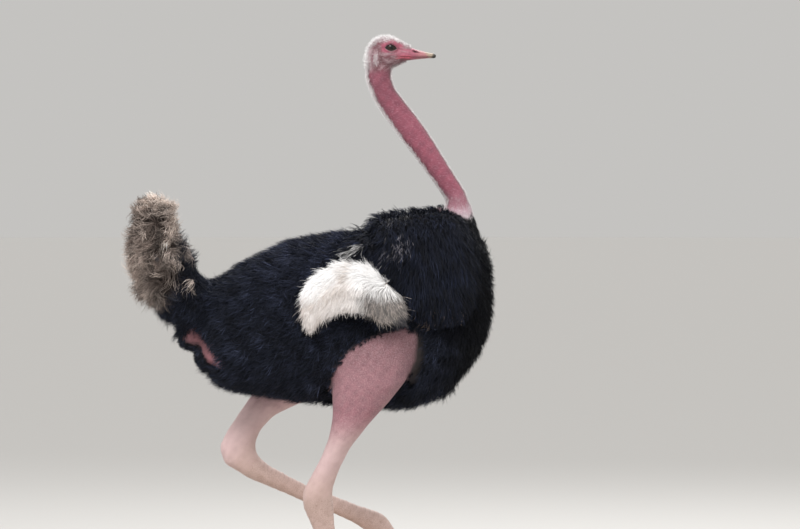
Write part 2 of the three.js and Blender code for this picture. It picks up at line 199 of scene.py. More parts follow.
class Finish:
    """One material, with its nodes."""

    def __init__(self, name, **shader):
        self.material = bpy.data.materials.new(name)
        self.material.use_nodes = True
        self.tree = self.material.node_tree
        self.shader = self.tree.nodes["Principled BSDF"]
        for socket, value in shader.items():
            self.feed(socket.replace("_", " "), value)

    def node(self, kind, settings, values, out=0):
        """A new node with its settings and inputs, as the wire from one of its outputs."""
        made = self.tree.nodes.new(kind)
        for name, value in settings.items():
            setattr(made, name, value)
        for socket, value in values.items():
            self._set(made.inputs[socket], value)
        return Wire(self, made.outputs[out])

    def _set(self, socket, value):
        if isinstance(value, Wire):
            self.tree.links.new(value.socket, socket)
        elif socket.type == "RGBA":
            socket.default_value = (*value, 1.0)
        else:
            socket.default_value = value

    def feed(self, socket, value):
        self._set(self.shader.inputs[socket], value)

    def place(self):
        return self.node("ShaderNodeTexCoord", {}, {}, "Object")

    def noise(self, scale, detail=3, rough=0.6, stretch=(1, 1, 1)):
        at = self.node("ShaderNodeVectorMath", {"operation": "MULTIPLY"},
                       {0: self.place(), 1: stretch})
        return self.node("ShaderNodeTexNoise", {}, {
            "Vector": at, "Scale": scale, "Detail": detail, "Roughness": rough}, "Fac")

    def cells(self, scale, feature="F1"):
        return self.node("ShaderNodeTexVoronoi", {"feature": feature}, {
            "Vector": self.place(), "Scale": scale}, "Distance")

    def painted(self, name, out="Color"):
        return self.node("ShaderNodeAttribute", {"attribute_name": name}, {}, out)

    def blend(self, share, first, second, mode="MIX"):
        return self.node("ShaderNodeMix", {"data_type": "RGBA", "blend_type": mode},
                         {0: share, 6: first, 7: second}, 2)

    def shaded(self, color, level):
        """A colour, darker where the level is below 1."""
        gray = self.blend(level, (0.0,) * 3, (1.0,) * 3)
        return self.blend(1.0, color, gray, "MULTIPLY")

    def bump(self, height, distance, strength):
        return self.node("ShaderNodeBump", {}, {
            "Height": height, "Distance": distance, "Strength": strength}, "Normal")


# ---- meshes ----

def finished(name, mesh, finish, slot, *replaced):
    """Makes a piece of the model, smooth and carried by the root; the slot given is not used."""
    piece = placed(name, mesh)
    mesh.materials.clear()
    mesh.materials.append(finish.material)
    mesh.polygons.foreach_set("use_smooth", [True] * len(mesh.polygons))
    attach(piece, "root")
    if replaced:
        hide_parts(*replaced)


def cad_copy(nodes):
    """A bmesh of copies of CAD nodes, their loose triangles merged into closed solids."""
    bm = bmesh.new()
    for node in nodes:
        bm.from_mesh(NODES[node].data)
    bmesh.ops.remove_doubles(bm, verts=bm.verts, dist=1e-6)
    return bm


def tree_of(nodes):
    """A search tree of the CAD nodes' surface."""
    bm = cad_copy(nodes)
    tree = BVHTree.FromBMesh(bm)
    bm.free()
    return tree


def form_of(name, nodes, voxel):
    """One closed quad mesh round copies of CAD nodes, from a voxel remesh."""
    rough = mesh_from(name, cad_copy(nodes))
    holder = placed(name, rough)
    remesh = holder.modifiers.new("remesh", "REMESH")
    remesh.mode = "VOXEL"
    remesh.voxel_size = voxel
    shaped = bpy.data.meshes.new_from_object(
        holder.evaluated_get(bpy.context.evaluated_depsgraph_get()))
    bpy.data.objects.remove(holder)
    bpy.data.meshes.remove(rough)
    keep_largest(shaped)
    shaped.name = name
    return shaped


def keep_largest(mesh):
    """Deletes all but the largest of the mesh's separate parts."""
    bm = bmesh.new()
    bm.from_mesh(mesh)
    seen = set()
    parts = []
    for vert in bm.verts:
        if vert.index in seen:
            continue
        seen.add(vert.index)
        part = [vert]
        for here in part:
            for edge in here.link_edges:
                other = edge.other_vert(here)
                if other.index not in seen:
                    seen.add(other.index)
                    part.append(other)
        parts.append(part)
    parts.sort(key=len)
    spare = [vert for part in parts[:-1] for vert in part]
    bmesh.ops.delete(bm, geom=spare, context="VERTS")
    bm.to_mesh(mesh)
    bm.free()


def read(items, name, width, kind=float):
    """One property of all vertices, edges or triangles, a row for each."""
    values = np.empty(len(items) * width, kind)
    items.foreach_get(name, values)
    return values.reshape(-1, width)


def points_of(mesh):
    return read(mesh.vertices, "co", 3)


def set_points(mesh, points):
    mesh.vertices.foreach_set("co", points.astype(np.float32).ravel())
    mesh.update()


def normals_of(mesh):
    return read(mesh.vertices, "normal", 3)


def edges_of(mesh):
    return read(mesh.edges, "vertices", 2, int)


def triangles_of(mesh):
    """The vertices of each triangle of the mesh, and its loops."""
    mesh.calc_loop_triangles()
    triangles = mesh.loop_triangles
    return read(triangles, "vertices", 3, int), read(triangles, "loops", 3, int)


def averaged(values, edges):
    """Each vertex's mean over its neighbours, for one or more columns of values."""
    count = len(values)
    columns = values.reshape(count, -1)
    ends = np.concatenate((edges[:, 0], edges[:, 1]))
    others = np.concatenate((edges[:, 1], edges[:, 0]))
    degree = np.maximum(np.bincount(ends, minlength=count), 1)
    sums = [np.bincount(ends, columns[others, k], count) / degree
            for k in range(columns.shape[1])]
    return np.stack(sums, 1).reshape(values.shape)


def evened(values, edges, rounds, share):
    """Values moved a share of the way to their neighbours' mean, a number of times."""
    for _ in range(rounds):
        values = values + share * (averaged(values, edges) - values)
    return values


def softened(points, edges, rounds, where=None, keep=0.5):
    """Points smoothed over the mesh's edges without the form shrinking."""
    share = 0.5 if where is None else 0.5 * where[:, None]
    for _ in range(rounds):
        points = evened(points, edges, 1, share)
        points = evened(points, edges, 1, -2 * keep * share)
    return points


def rounded(points, edges, rounds, where=None):
    """Points rid of their facets, with the broad form given back."""
    share = 0.5 if where is None else 0.5 * where[:, None]
    smooth = evened(points, edges, rounds, share)
    return smooth + evened(points - smooth, edges, rounds, share)


def round_form(name, nodes, voxel, rounds):
    """A closed mesh round CAD nodes, rid of their facets."""
    mesh = form_of(name, nodes, voxel)
    set_points(mesh, rounded(points_of(mesh), edges_of(mesh), rounds))
    return mesh


def core_of(name, node, voxel, rounds, depth, soft_rounds):
    """The closed form under a solid's plumes, drawn in from its outline."""
    mesh = form_of(name, [node], voxel)
    points = rounded(points_of(mesh), edges_of(mesh), rounds)
    set_points(mesh, points)
    set_points(mesh, points - normals_of(mesh) * depth)
    set_points(mesh, softened(points_of(mesh), edges_of(mesh), soft_rounds))
    return mesh


def paint(mesh, name, values):
    """Stores one number or one colour for each vertex."""
    if values.ndim == 1:
        layer = mesh.attributes.new(name, "FLOAT", "POINT")
        layer.data.foreach_set("value", values.astype(np.float32))
    else:
        layer = mesh.attributes.new(name, "FLOAT_COLOR", "POINT")
        full = np.ones((len(values), 4), np.float32)
        full[:, :3] = values
        layer.data.foreach_set("color", full.ravel())


# ---- sums on many points at once ----

def ramp(value, low, high):
    """0 below low, 1 above high, smooth between; low may be the larger."""
    t = np.clip((value - low) / (high - low), 0, 1)
    return t * t * (3 - 2 * t)


def bell(distance, width):
    return np.exp(-(distance / width) ** 2)


def unit(vectors):
    return vectors / np.maximum(np.linalg.norm(vectors, axis=-1), 1e-9)[..., None]


def mixed(first, second, share):
    first = np.asarray(first)
    return first + (np.asarray(second) - first) * np.asarray(share)[..., None]


def layered(base, *layers):
    """A colour or direction, with others mixed over it in turn, each by its own share."""
    for over, share in layers:
        base = mixed(base, over, share)
    return base


def spot(points, x, z, radius, squash=1.0):
    """1 at a place in side view, and less and less round it."""
    return bell(np.hypot(points[:, 0] - x, (points[:, 2] - z) * squash), radius)


def beside_path(points, path):
    """Distance from a path in side view, share along it, height above it and its course."""
    flat = points[:, [0, 2]]
    best = np.full(len(points), np.inf)
    along = np.zeros(len(points))
    above = np.zeros(len(points))
    heading = np.zeros((len(points), 2))
    for i, (a, b) in enumerate(zip(path[:-1], path[1:])):
        course = (b - a) / np.linalg.norm(b - a)
        t = np.clip(((flat - a) @ (b - a)) / ((b - a) @ (b - a)), 0, 1)
        gap = flat - a - t[:, None] * (b - a)
        distance = np.linalg.norm(gap, axis=1)
        closer = distance < best
        best[closer] = distance[closer]
        along[closer] = (i + t[closer]) / (len(path) - 1)
        above[closer] = (gap @ np.array((course[1], -course[0])))[closer]
        heading[closer] = course
    return best, along, above, heading


def depth_within(points, outline):
    """How far inside a convex outline, clockwise in (x, z), each point lies."""
    flat = points[:, [0, 2]]
    inside = np.full(len(points), np.inf)
    for a, b in zip(outline, np.roll(outline, -1, 0)):
        course = (b - a) / np.linalg.norm(b - a)
        inside = np.minimum(inside, (flat - a) @ np.array((course[1], -course[0])))
    return inside


def ripple(points, scale, seed, octaves=3):
    """Smooth noise between about -1 and 1, from a few waves in random directions."""
    rng = np.random.default_rng(seed)
    total = np.zeros(len(points))
    weight = 0.0
    for octave in range(octaves):
        size = scale / 1.9 ** octave
        for _ in range(5):
            wave = rng.normal(size=3)
            wave *= 2 * math.pi / (size * np.linalg.norm(wave))
            total += 0.6 ** octave * np.sin(points @ wave + rng.uniform(0, 2 * math.pi))
        weight += 0.6 ** octave
    return total / (weight * 2.2)


def nearness(points, nodes, far):
    """1 at the solids' surface and 0 from a distance of `far`."""
    tree = tree_of(nodes)
    found = [tree.find_nearest(Vector(point), far)[3] for point in points]
    distance = np.array([far if d is None else d for d in found])
    return ramp(distance, far, 0.15 * far)


# ---- the skin ----

SKIN_VOXEL = 11.5 * MM
FINE_VOXEL = 2.4 * MM
HEAD_REACH = 0.25
NODE_REACH = 0.03


def nearest_node(points):
    """The number, in SKIN_NODES, of the CAD node nearest to each point."""
    best = np.full(len(points), np.inf)
    label = np.zeros(len(points), int)
    for index, node in enumerate(SKIN_NODES):
        tree = tree_of([node])
        low, high = (np.array(corner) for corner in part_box(node))
        near = np.all((points > low - NODE_REACH) & (points < high + NODE_REACH), 1)
        for i in np.flatnonzero(near):
            distance = tree.find_nearest(points[i], float(min(best[i], 1.0)))[3]
            if distance is not None and distance < best[i]:
                best[i] = distance
                label[i] = index
    return label


def share_of(nodes, label):
    """1 at the vertices that are nearest to some of the CAD nodes, and 0 at the rest."""
    return np.isin(label, [SKIN_NODES.index(node) for node in nodes]).astype(float)


def subdivided(mesh, chosen):
    """Splits in two each edge whose two ends are both chosen."""
    bm = bmesh.new()
    bm.from_mesh(mesh)
    edges = [e for e in bm.edges if chosen[e.verts[0].index] and chosen[e.verts[1].index]]
    bmesh.ops.subdivide_edges(bm, edges=edges, cuts=1, use_grid_fill=True)
    bm.to_mesh(mesh)
    bm.free()


def head_space(points):
    """World points in the head's own frame."""
    inverse = np.array(HEAD_PLACE.inverted())
    return points @ inverse[:3, :3].T + inverse[:3, 3]


def world_space(points):
    place = np.array(HEAD_PLACE)
    return points @ place[:3, :3].T + place[:3, 3]


def above_neck(head, height):
    """Which points of the head's frame are on the head or the neck above a height."""
    return (head[:, 2] > height) & (np.abs(head[:, 0]) < HEAD_REACH)


def skin_form():
    """The whole bird's closed form, finest round the eyes and finer on what is bare."""
    mesh = form_of("skin", SKIN_NODES, SKIN_VOXEL)
    points = points_of(mesh)
    bare = NECK + DRUMSTICKS + SHANKS + TOES + CLAWS + ["vent"]
    on_bare = share_of(bare, nearest_node(points)) > 0
    subdivided(mesh, on_bare | above_neck(head_space(points), -0.075))
    subdivided(mesh, above_neck(head_space(points_of(mesh)), -0.02))
    head = head_space(points_of(mesh))
    subdivided(mesh, above_neck(head, 0.035) & (head[:, 0] > -0.035) & (head[:, 0] < 0.105))
    head = head_space(points_of(mesh))
    eye_far = np.hypot(head[:, 0] - EYE_AT[0], head[:, 2] - EYE_AT[2])
    subdivided(mesh, above_neck(head, 0.05) & (eye_far < 25 * MM) & (np.abs(head[:, 1]) > 0.02))
    points = softened(points_of(mesh), edges_of(mesh), 6)
    neck = (points[:, 2] > 1.35).astype(float)
    leg = ramp(points[:, 2], 0.86, 0.80) * ramp(points[:, 2], 0.40, 0.46)
    set_points(mesh, rounded(points, edges_of(mesh), 30, 0.35 + 0.65 * np.maximum(neck, leg)))
    return mesh


def on_fine_head(mesh):
    """Moves the head's part of the skin onto a finer form of the CAD head."""
    fine = round_form("fine_head", ["head", "neck_upper"] + BILL + EYES, FINE_VOXEL, 44)
    faces = [tuple(face.vertices) for face in fine.polygons]
    tree = BVHTree.FromPolygons([Vector(point) for point in points_of(fine)], faces)
    bpy.data.meshes.remove(fine)
    points = points_of(mesh)
    head = head_space(points)
    share = ramp(head[:, 2], -0.05, -0.015) * above_neck(head, -0.05)
    share = share * ramp(head[:, 0], 0.118, 0.1)
    for i in np.flatnonzero(share > 0):
        found = tree.find_nearest(points[i])[0]
        points[i] += share[i] * (np.array(found) - points[i])
    set_points(mesh, softened(points, edges_of(mesh), 3, share))


COAT_DEPTH = {
    "trunk": 25, "tail_base": 20, "breast_pad": 6, "vent": 3, "head": 1.6, "neck_upper": 1.6,
    "neck_middle": 1.6, "neck_lower": 2, **dict.fromkeys(WINGS, 24), **dict.fromkeys(EYES, 0),
    **dict.fromkeys(BILL, 1.6), **dict.fromkeys(DRUMSTICKS, 1), **dict.fromkeys(SHANKS, 0.6),
    **dict.fromkeys(TOES, 0.4), **dict.fromkeys(CLAWS, 3),
}
THIGH_TOP = np.array([
    (-0.094, 0.84), (-0.098, 0.885), (-0.092, 0.915), (-0.062, 0.962), (-0.010, 0.997),
    (0.060, 1.024), (0.127, 1.036), (0.157, 1.016), (0.155, 0.935), (0.138, 0.872),
    (0.018, 0.754), (-0.086, 0.78)])
REAR_STRIP = np.array([(-0.440, 0.918), (-0.484, 0.995)])
NECK_FOOT = 0.345
LEFT_WING_SHIFT = 46 * MM


def bare_flank(points):
    """How far the flank in front of the standing leg's thigh is bare."""
    ahead = (points[:, 0] - 0.172) / 0.030
    height = (points[:, 2] - 0.955) / 0.105
    return np.clip(1.7 * bell(np.hypot(ahead, height), 1.0) - 0.25, 0, 1) * (points[:, 1] < 0)


def bare_thigh(points):
    """How far the right side round the thigh's top is as bare as the thigh."""
    inside = depth_within(points, THIGH_TOP)
    return ramp(inside, -5 * MM, 5 * MM) * ramp(points[:, 1], -0.08, -0.11)


def bare_rear(points):
    """How far the vent's swelling and the strip below it are bare."""
    across = np.abs(points[:, 1])
    strip = 1.6 * bell(beside_path(points, REAR_STRIP)[0], 0.022) * ramp(across, 0.016, 0.034)
    swelling = 1.7 * spot(points, -0.510, 1.015, 0.039, 1.2)
    return np.clip(np.maximum(strip, swelling) - 0.3, 0, 1) * ramp(across, 0.125, 0.09)


def above_collar(points):
    """How high each point is above the line round the neck's foot where the plumage starts."""
    x = points[:, 0]
    line = 1.396 - 0.42 * (x - 0.303) + 1.7 * np.maximum(x - 0.365, 0)
    return points[:, 2] - line


def above_foot(points):
    """The same height above a more level line, towards which the neck's foot grows pale."""
    return above_collar(points) - 0.5 * (points[:, 0] - 0.34)


def round_neck(points, radius, x=NECK_FOOT):
    """1 at the middle of the neck's foot, seen from above, and less and less round it."""
    return bell(np.hypot(points[:, 0] - x, points[:, 1]), radius)


def neck_foot(points):
    """How far the front of the body round the neck's foot is bare."""
    return (ramp(above_collar(points), -5 * MM, 5 * MM)
            * ramp(round_neck(points, 0.11), 0.25, 0.5))


def back_line(points):
    """How far the back rises before the wings, dips at their rear edge and swells on them."""
    x, y, z = points.T
    along = x - LEFT_WING_SHIFT * ramp(y, -0.02, 0.02)
    rise = 9 * bell(along + 0.045, 0.045) - 17 * bell(along - 0.018, 0.020)
    rise += 8 * bell(along - 0.068, 0.028)
    rise = rise * ramp(z, 1.24, 1.31) * (z < 1.45)
    rise += 17 * bell(x + 0.452, 0.035) * ramp(z, 1.09, 1.13)
    return rise * MM


def below_coat(mesh, label):
    """Draws the skin in by the coat's depth, which thins out towards bare parts."""
    edges = edges_of(mesh)
    points = points_of(mesh)
    head = head_space(points)
    on_head = above_neck(head, 0)
    depth = np.array([COAT_DEPTH[node] for node in SKIN_NODES])[label] * MM
    shallow = round_neck(points, 0.12) * ramp(points[:, 2], 1.27, 1.39)
    bare = np.maximum(bare_rear(points), 0.7 * bare_flank(points))
    for share, most in ((shallow, 5), (bare, 6), (bare_thigh(points), 3), (neck_foot(points), 2)):
        depth = depth + share * (np.minimum(depth, most * MM) - depth)
    loose = np.where(on_head, 0.25, 0.45)
    depth = evened(depth, edges, 6, loose)
    normals = unit(evened(normals_of(mesh), edges, 10, loose[:, None]))
    at_root = bell(head[:, 0] - 0.096, 0.011) * on_head
    in_bill = ramp(head[:, 0], 0.103, 0.116) * on_head
    depth = depth - 2.0 * MM * at_root + 3.0 * MM * in_bill
    points = points + normals * (back_line(points) - depth)[:, None]
    set_points(mesh, softened(points, edges, 5, ramp(depth, 5 * MM, 16 * MM)))
    return depth


def eye_frame(head):
    """The nearer eye's middle, and each point's direction, distance and outward share from it."""
    side = np.where(head[:, 1] >= 0, 1.0, -1.0)
    centre = np.stack([np.full(len(head), EYE_AT[0]), side * EYE_AT[1],
                       np.full(len(head), EYE_AT[2])], 1)
    ray = head - centre
    far = np.linalg.norm(ray, axis=1)
    ray = ray / far[:, None]
    return centre, ray, far, ray[:, 1] * side


LID_HALF_LENGTH = 17.3 * MM
LID_TOP = 9.6 * MM
LID_BOTTOM = 7.6 * MM
LID_DROP = 1.6 * MM
LID_TILT = 0.06
GAPE = np.array([(44, 61.5), (60, 64.6), (78, 66.2), (101, 65.5)]) * MM
EAR_AT = (-17, 62)


def upper_lid(forward):
    return LID_TOP * (1 - np.abs(forward / LID_HALF_LENGTH) ** 2.3)


def eye_opening(ray):
    """How far inside the opening between the lids each direction falls, in metres."""
    forward = ray[:, 0] * EYE_RADIUS
    upward = ray[:, 2] * EYE_RADIUS + LID_TILT * forward + LID_DROP
    bottom = -LID_BOTTOM * (1 - np.abs(forward / LID_HALF_LENGTH) ** 1.9)
    return np.minimum(upper_lid(forward) - upward, upward - bottom)


def sculpt_face(mesh):
    """Lids, brow, lores, the corner of the mouth, the ear and the throat's folds."""
    points = points_of(mesh)
    head = head_space(points)
    on_head = above_neck(head, 0.0)
    flank = ramp(np.abs(head[:, 1]), 10 * MM, 18 * MM) * on_head

    def mound(forward, up, radius):
        return spot(head, forward * MM, up * MM, radius * MM)

    lift = 2.2 * mound(36, 113, 13) - 2.6 * mound(70, 91, 12) + 1.6 * mound(30, 74, 13)
    lift += -1.4 * mound(8, 92, 10) + 1.2 * mound(52, 54, 12)
    distance, along = beside_path(head, GAPE)[:2]
    fade = ramp(along, 0.0, 0.25)
    lift += fade * (-2.4 * bell(distance, 1.5 * MM) + 0.9 * bell(distance - 3.6 * MM, 2.0 * MM))
    ear = np.hypot((head[:, 0] - EAR_AT[0] * MM) / 5.5, (head[:, 2] - EAR_AT[1] * MM) / 11.0)
    lift += -3.6 * bell(ear, 0.8 * MM) + 1.3 * bell(ear - 1.3 * MM, 0.55 * MM)
    folds = np.sin((head[:, 2] - 0.6 * head[:, 0]) / (3.4 * MM)) * mound(42, 30, 22)
    lift += 0.35 * folds + 0.22 * ripple(head, 0.008, 45) * ramp(head[:, 2], 25 * MM, 45 * MM)
    points = points + normals_of(mesh) * (lift * flank * MM)[:, None]

    centre, ray, far, outward = eye_frame(head_space(points))
    inside = eye_opening(ray)
    outside = np.maximum(-inside, 0)
    rim = EYE_RADIUS + (0.9 + 0.55 * bell(outside - 1.0 * MM, 1.1 * MM)
                        - 0.5 * bell(outside - 4.6 * MM, 1.0 * MM)
                        + 0.4 * bell(outside - 7.0 * MM, 1.6 * MM)) * MM
    hidden = EYE_RADIUS - 2.2 * MM
    target = hidden + (rim - hidden) * ramp(inside, 0.75 * MM, -0.35 * MM)
    share = (1 - ramp(outside, 6 * MM, 15 * MM)) * ramp(outward, 0.12, 0.3) * on_head
    share = np.where(inside > -0.5 * MM, (outward > 0.12) * on_head, share)
    set_points(mesh, world_space(centre + ray * (far + share * (target - far))[:, None]))


SCUTE = 15 * MM
TOE_SCUTE = 11 * MM


def leg_run(mesh, label):
    """How far along its own leg or toe each vertex is, and how far it faces the front."""
    points = points_of(mesh)
    normals = normals_of(mesh)
    run = np.zeros(len(points))
    front = np.zeros(len(points))
    for node in SHANKS + TOES:
        here = label == SKIN_NODES.index(node)
        centred = points[here] - points[here].mean(0)
        axis = np.linalg.svd(centred, full_matrices=False)[2][0]
        axis = axis * (-1 if axis[2] - axis[0] > 0 else 1)
        facing = np.array((-axis[2], 0, axis[0]))
        run[here] = centred @ axis / (TOE_SCUTE if node in TOES else SCUTE)
        front[here] = normals[here] @ (facing / np.linalg.norm(facing))
    return run, ramp(front, 0.25, 0.6)


def sculpt_legs(mesh, label):
    """Plates that overlap down the front of the shanks and over the toes."""
    edges = edges_of(mesh)
    run, front = leg_run(mesh, label)
    front = front * averaged(averaged(share_of(SHANKS + TOES, label), edges), edges)
    step = run - np.floor(run)
    lift = (0.9 * step ** 0.7 * ramp(step, 1.0, 0.86) - 0.3) * 1.7 * MM * front
    set_points(mesh, points_of(mesh) + normals_of(mesh) * lift[:, None])
    paint(mesh, "run", run)
    paint(mesh, "front", front)


def build_skin():
    mesh = skin_form()
    on_fine_head(mesh)
    label = nearest_node(points_of(mesh))
    depth = below_coat(mesh, label)
    sculpt_face(mesh)
    sculpt_legs(mesh, label)
    return mesh, label, depth


# ---- what the skin is painted with ----

def tone(red, green, blue):
    return np.array((red, green, blue))


PINK = tone(0.282, 0.077, 0.112)
DEEP_PINK = tone(0.212, 0.061, 0.09)
PALE_PINK = tone(0.30, 0.14, 0.175)
FOOT_PALE = tone(0.50, 0.36, 0.41)
LORE_PINK = tone(0.33, 0.102, 0.142)
EYE_PINK = tone(0.33, 0.08, 0.125)
CHEEK = tone(0.128, 0.054, 0.062)
# Painted shade in creases and openings: the lores' fold, the lid creases, the ear's slit and the
# line of the mouth.
CREASE_SHADE = tone(0.13, 0.045, 0.060)
LID_EDGE = tone(0.045, 0.030, 0.034)
LID_PALE = tone(0.46, 0.31, 0.32)
LIP = tone(0.48, 0.095, 0.130)
SCALP = tone(0.36, 0.26, 0.28)
THIGH = tone(0.27, 0.118, 0.14)
THIGH_DARK = tone(0.165, 0.072, 0.09)
FLUSH = tone(0.29, 0.098, 0.132)
THIGH_LOW = tone(0.60, 0.435, 0.425)
SHANK = tone(0.57, 0.42, 0.38)
SHANK_DARK = tone(0.38, 0.26, 0.215)
UNDER_COAT = tone(0.013, 0.013, 0.017)
BARE_FLANK = tone(0.0275, 0.0215, 0.021)
VENT_PINK = tone(0.205, 0.086, 0.098)
CALLUS = tone(0.20, 0.150, 0.105)
BILL_MIDDLE = tone(0.37, 0.155, 0.17)
BILL_TAN = tone(0.34, 0.265, 0.20)
BILL_TIP = tone(0.055, 0.05, 0.045)
NOSTRIL = tone(0.05, 0.012, 0.018)
GLOBE = tone(0.014, 0.010, 0.010)
IRIS = tone(0.024, 0.011, 0.007)
PUPIL = tone(0.002, 0.002, 0.002)
CLAW_ROOT = tone(0.11, 0.085, 0.070)
CLAW_TIP = tone(0.040, 0.033, 0.030)


def neck_tint(points, mottle):
    """Pink, deeper in patches and towards the head, and pale at the neck's foot."""
    ahead = above_foot(points)
    tint = mixed(PINK, DEEP_PINK, 0.5 + 0.5 * mottle)
    tint = tint * (1 - 0.22 * ramp(points[:, 2], 1.66, 1.78))[:, None]
    return layered(tint, (PALE_PINK, 0.8 * ramp(ahead, 0.10, 0.03)),
                   (FOOT_PALE, ramp(ahead, 0.035, 0.005)))


def with_face(color, head, fine):
    """The head's colours laid over the neck's: scalp, lores, cheeks, ears, mouth and lids, with
    painted shade in the creases, the ear's slit and a hollow on the cheek.
    """
    forward, up = head[:, 0] / MM, head[:, 2] / MM
    skull = ramp(up, 8, 40)
    flank = ramp(np.abs(head[:, 1]), 8 * MM, 17 * MM)
    wisps = ripple(head * np.array((0.4, 1, 1)), 0.009, 33)
    crown = ramp(up + 0.30 * np.maximum(forward - 30, 0), 108, 122) * skull
    eye_near = np.hypot((forward - 42) / 1.45, up - 96)
    lore = ramp(np.abs(up - 80 + 0.12 * (forward - 70)), 17, 9) * ramp(forward, 48, 66)
    fold = up - 89 + 0.16 * (forward - 70)
    ahead = bell(forward - 80, 15) * flank
    streak = bell(up - 77 - 0.10 * (forward - 40), 4.5) * bell(forward - 30, 26) * flank
    below_mouth = bell(np.hypot((forward - 36) / 24, (up - 53) / 8), 1.0) * flank
    # Painted shade in the hollow between the ear and the corner of the mouth.
    hollow = bell(np.hypot((forward - 7) / 7, (up - 57) / 10), 1.0) * flank
    ear = np.hypot((forward + 9.5) / 9.5, (up - 63) / 25)
    slit = np.hypot((forward + 18 - 0.012 * (up - 62) ** 2) / 3.2, (up - 62) / 15)
    distance, along = beside_path(head, GAPE)[:2]
    lip = bell(distance - 1.8 * MM, 2.6 * MM) * ramp(along, 0.05, 0.4) * (up > 20)
    inside = eye_opening(eye_frame(head)[1]) / MM
    on_eye = (up > 70) * flank
    crease = bell(inside + 4.4, 1.5) * (up > 96) + 0.5 * bell(inside + 8.2, 1.4) * (up > 90)
    return layered(
        color,
        (CHEEK, skull * (0.75 + 0.25 * fine)),
        (SCALP, 0.5 * ramp(wisps, 0.05, 0.6) * skull * ramp(forward, 66, 50)),
        (SCALP, crown),
        (SCALP * 1.15, ramp(forward, -14, -25) * skull * 0.9),
        (EYE_PINK, ramp(eye_near, 29, 18) * flank),
        (LORE_PINK * (1 + 0.3 * wisps)[:, None], lore),
        (CREASE_SHADE * 1.7, 0.6 * bell(fold, 1.7) * ahead),
        (SCALP, 0.45 * bell(fold + 4.5, 2.2) * ahead),
        (SCALP, 0.4 * bell(fold - 6.5, 2.6) * ahead),
        (SCALP, 0.75 * streak),
        (SCALP * 0.85, 0.7 * below_mouth * (0.5 + 0.5 * ramp(wisps, -0.3, 0.3))),
        (CHEEK * 0.7, 0.7 * hollow),
        (CHEEK * 0.8, 0.6 * bell(ear - 1.35, 0.4) * flank),
        (SCALP * 1.25, bell(ear, 0.75) * flank),
        (CREASE_SHADE * 1.6, bell(slit, 0.85) * flank),
        (LIP, 0.85 * lip * flank),
        (CREASE_SHADE, bell(distance, 1.1 * MM) * ramp(along, 0, 0.3) * skull * flank),
        (LIP * 0.9, bell(forward - 92, 12) * bell(up - 62, 6) * flank * 0.6),
        (CREASE_SHADE, np.clip(crease, 0, 1) * on_eye),
        (LID_PALE, 0.75 * bell(inside + 2.2, 1.1) * (up < 92) * on_eye),
        (SCALP, 0.35 * ramp(up, 108, 116) * ramp(eye_near, 34, 26) * flank),
        (LID_EDGE, ramp(inside, -1.7, -0.5) * (eye_near < 30) * on_eye))


def thigh_tint(points, mottle):
    """Flushed at mid height and pale lower down; the right thigh is darker in front and on top, as
    painted shade.
    """
    x, y, z = points.T
    right = y < 0
    low = ramp(z - 0.10 * (y > 0), 0.79, 0.64)
    # Painted shade towards the front of the right thigh.
    front_shade = ramp(x - 0.30 * (z - 0.9), 0.05, 0.15) * right
    dark = np.clip(0.3 + 0.3 * mottle + 0.5 * front_shade, 0, 1) * (1 - 0.8 * low)
    tint = layered(THIGH, (FLUSH, bell(z - 0.73, 0.06)), (THIGH_LOW, low),
                   (THIGH_DARK, dark))
    # Painted shade on the top of the right thigh, under the body.
    return tint * (1 - 0.28 * ramp(z, 0.86, 0.97) * right)[:, None]


def skin_tint(mesh, label):
    """The skin's colour at each vertex, and how far it is pebbly, scaly or wrinkly there."""
    points = points_of(mesh)
    edges = edges_of(mesh)
    head = head_space(points)
    skull = ramp(head[:, 2] / MM, 8, 40)
    mottle = ripple(points, 0.028, 31, 2)
    fine = ripple(points, 0.007, 32)

    def on(nodes):
        share = share_of(nodes, label)
        for _ in range(3):
            share = averaged(share, edges)
        return share

    neck = np.maximum(on(NECK + EYES + BILL + ["head"]), neck_foot(points))
    thigh = np.maximum(on(DRUMSTICKS), bare_thigh(points))
    shank = on(SHANKS + TOES + CLAWS)
    leg = (shank > 0) | (thigh > 0)
    lower = np.zeros(len(points))
    lower[leg] = nearness(points[leg], SHANKS, 110 * MM)
    lower = np.maximum(lower, ramp(shank, 0.5, 1)) * (points[:, 2] < 0.75)
    soles = share_of(TOES, label) * ramp(normals_of(mesh)[:, 2], -0.2, -0.8)
    shank_tint = layered(SHANK, (SHANK_DARK, 0.25 + 0.15 * mottle),
                         (SHANK_DARK * 0.8, 0.5 * soles))
    patch = BARE_FLANK * (1 + 0.5 * mottle)[:, None]
    pale = 0.8 + 0.75 * ramp(points[:, 2], 0.98, 0.93) + 0.25 * ripple(points, 0.012, 34)
    color = layered(UNDER_COAT, (patch, bare_flank(points) * on(["trunk"])),
                    (VENT_PINK * pale[:, None], bare_rear(points)),
                    (CALLUS, on(["breast_pad"])), (neck_tint(points, mottle), neck))
    color = layered(with_face(color, head, fine), (thigh_tint(points, mottle), thigh),
                    (shank_tint, lower))
    color = color * (1 + 0.16 * fine * skull)[:, None]
    paint(mesh, "tint", np.clip(color, 0.003, 1))
    paint(mesh, "pebbly", np.clip(thigh, 0, 1))
    paint(mesh, "scaly", np.clip(shank, 0, 1))
    paint(mesh, "wrinkly", np.clip(neck * (1 - skull), 0, 1))


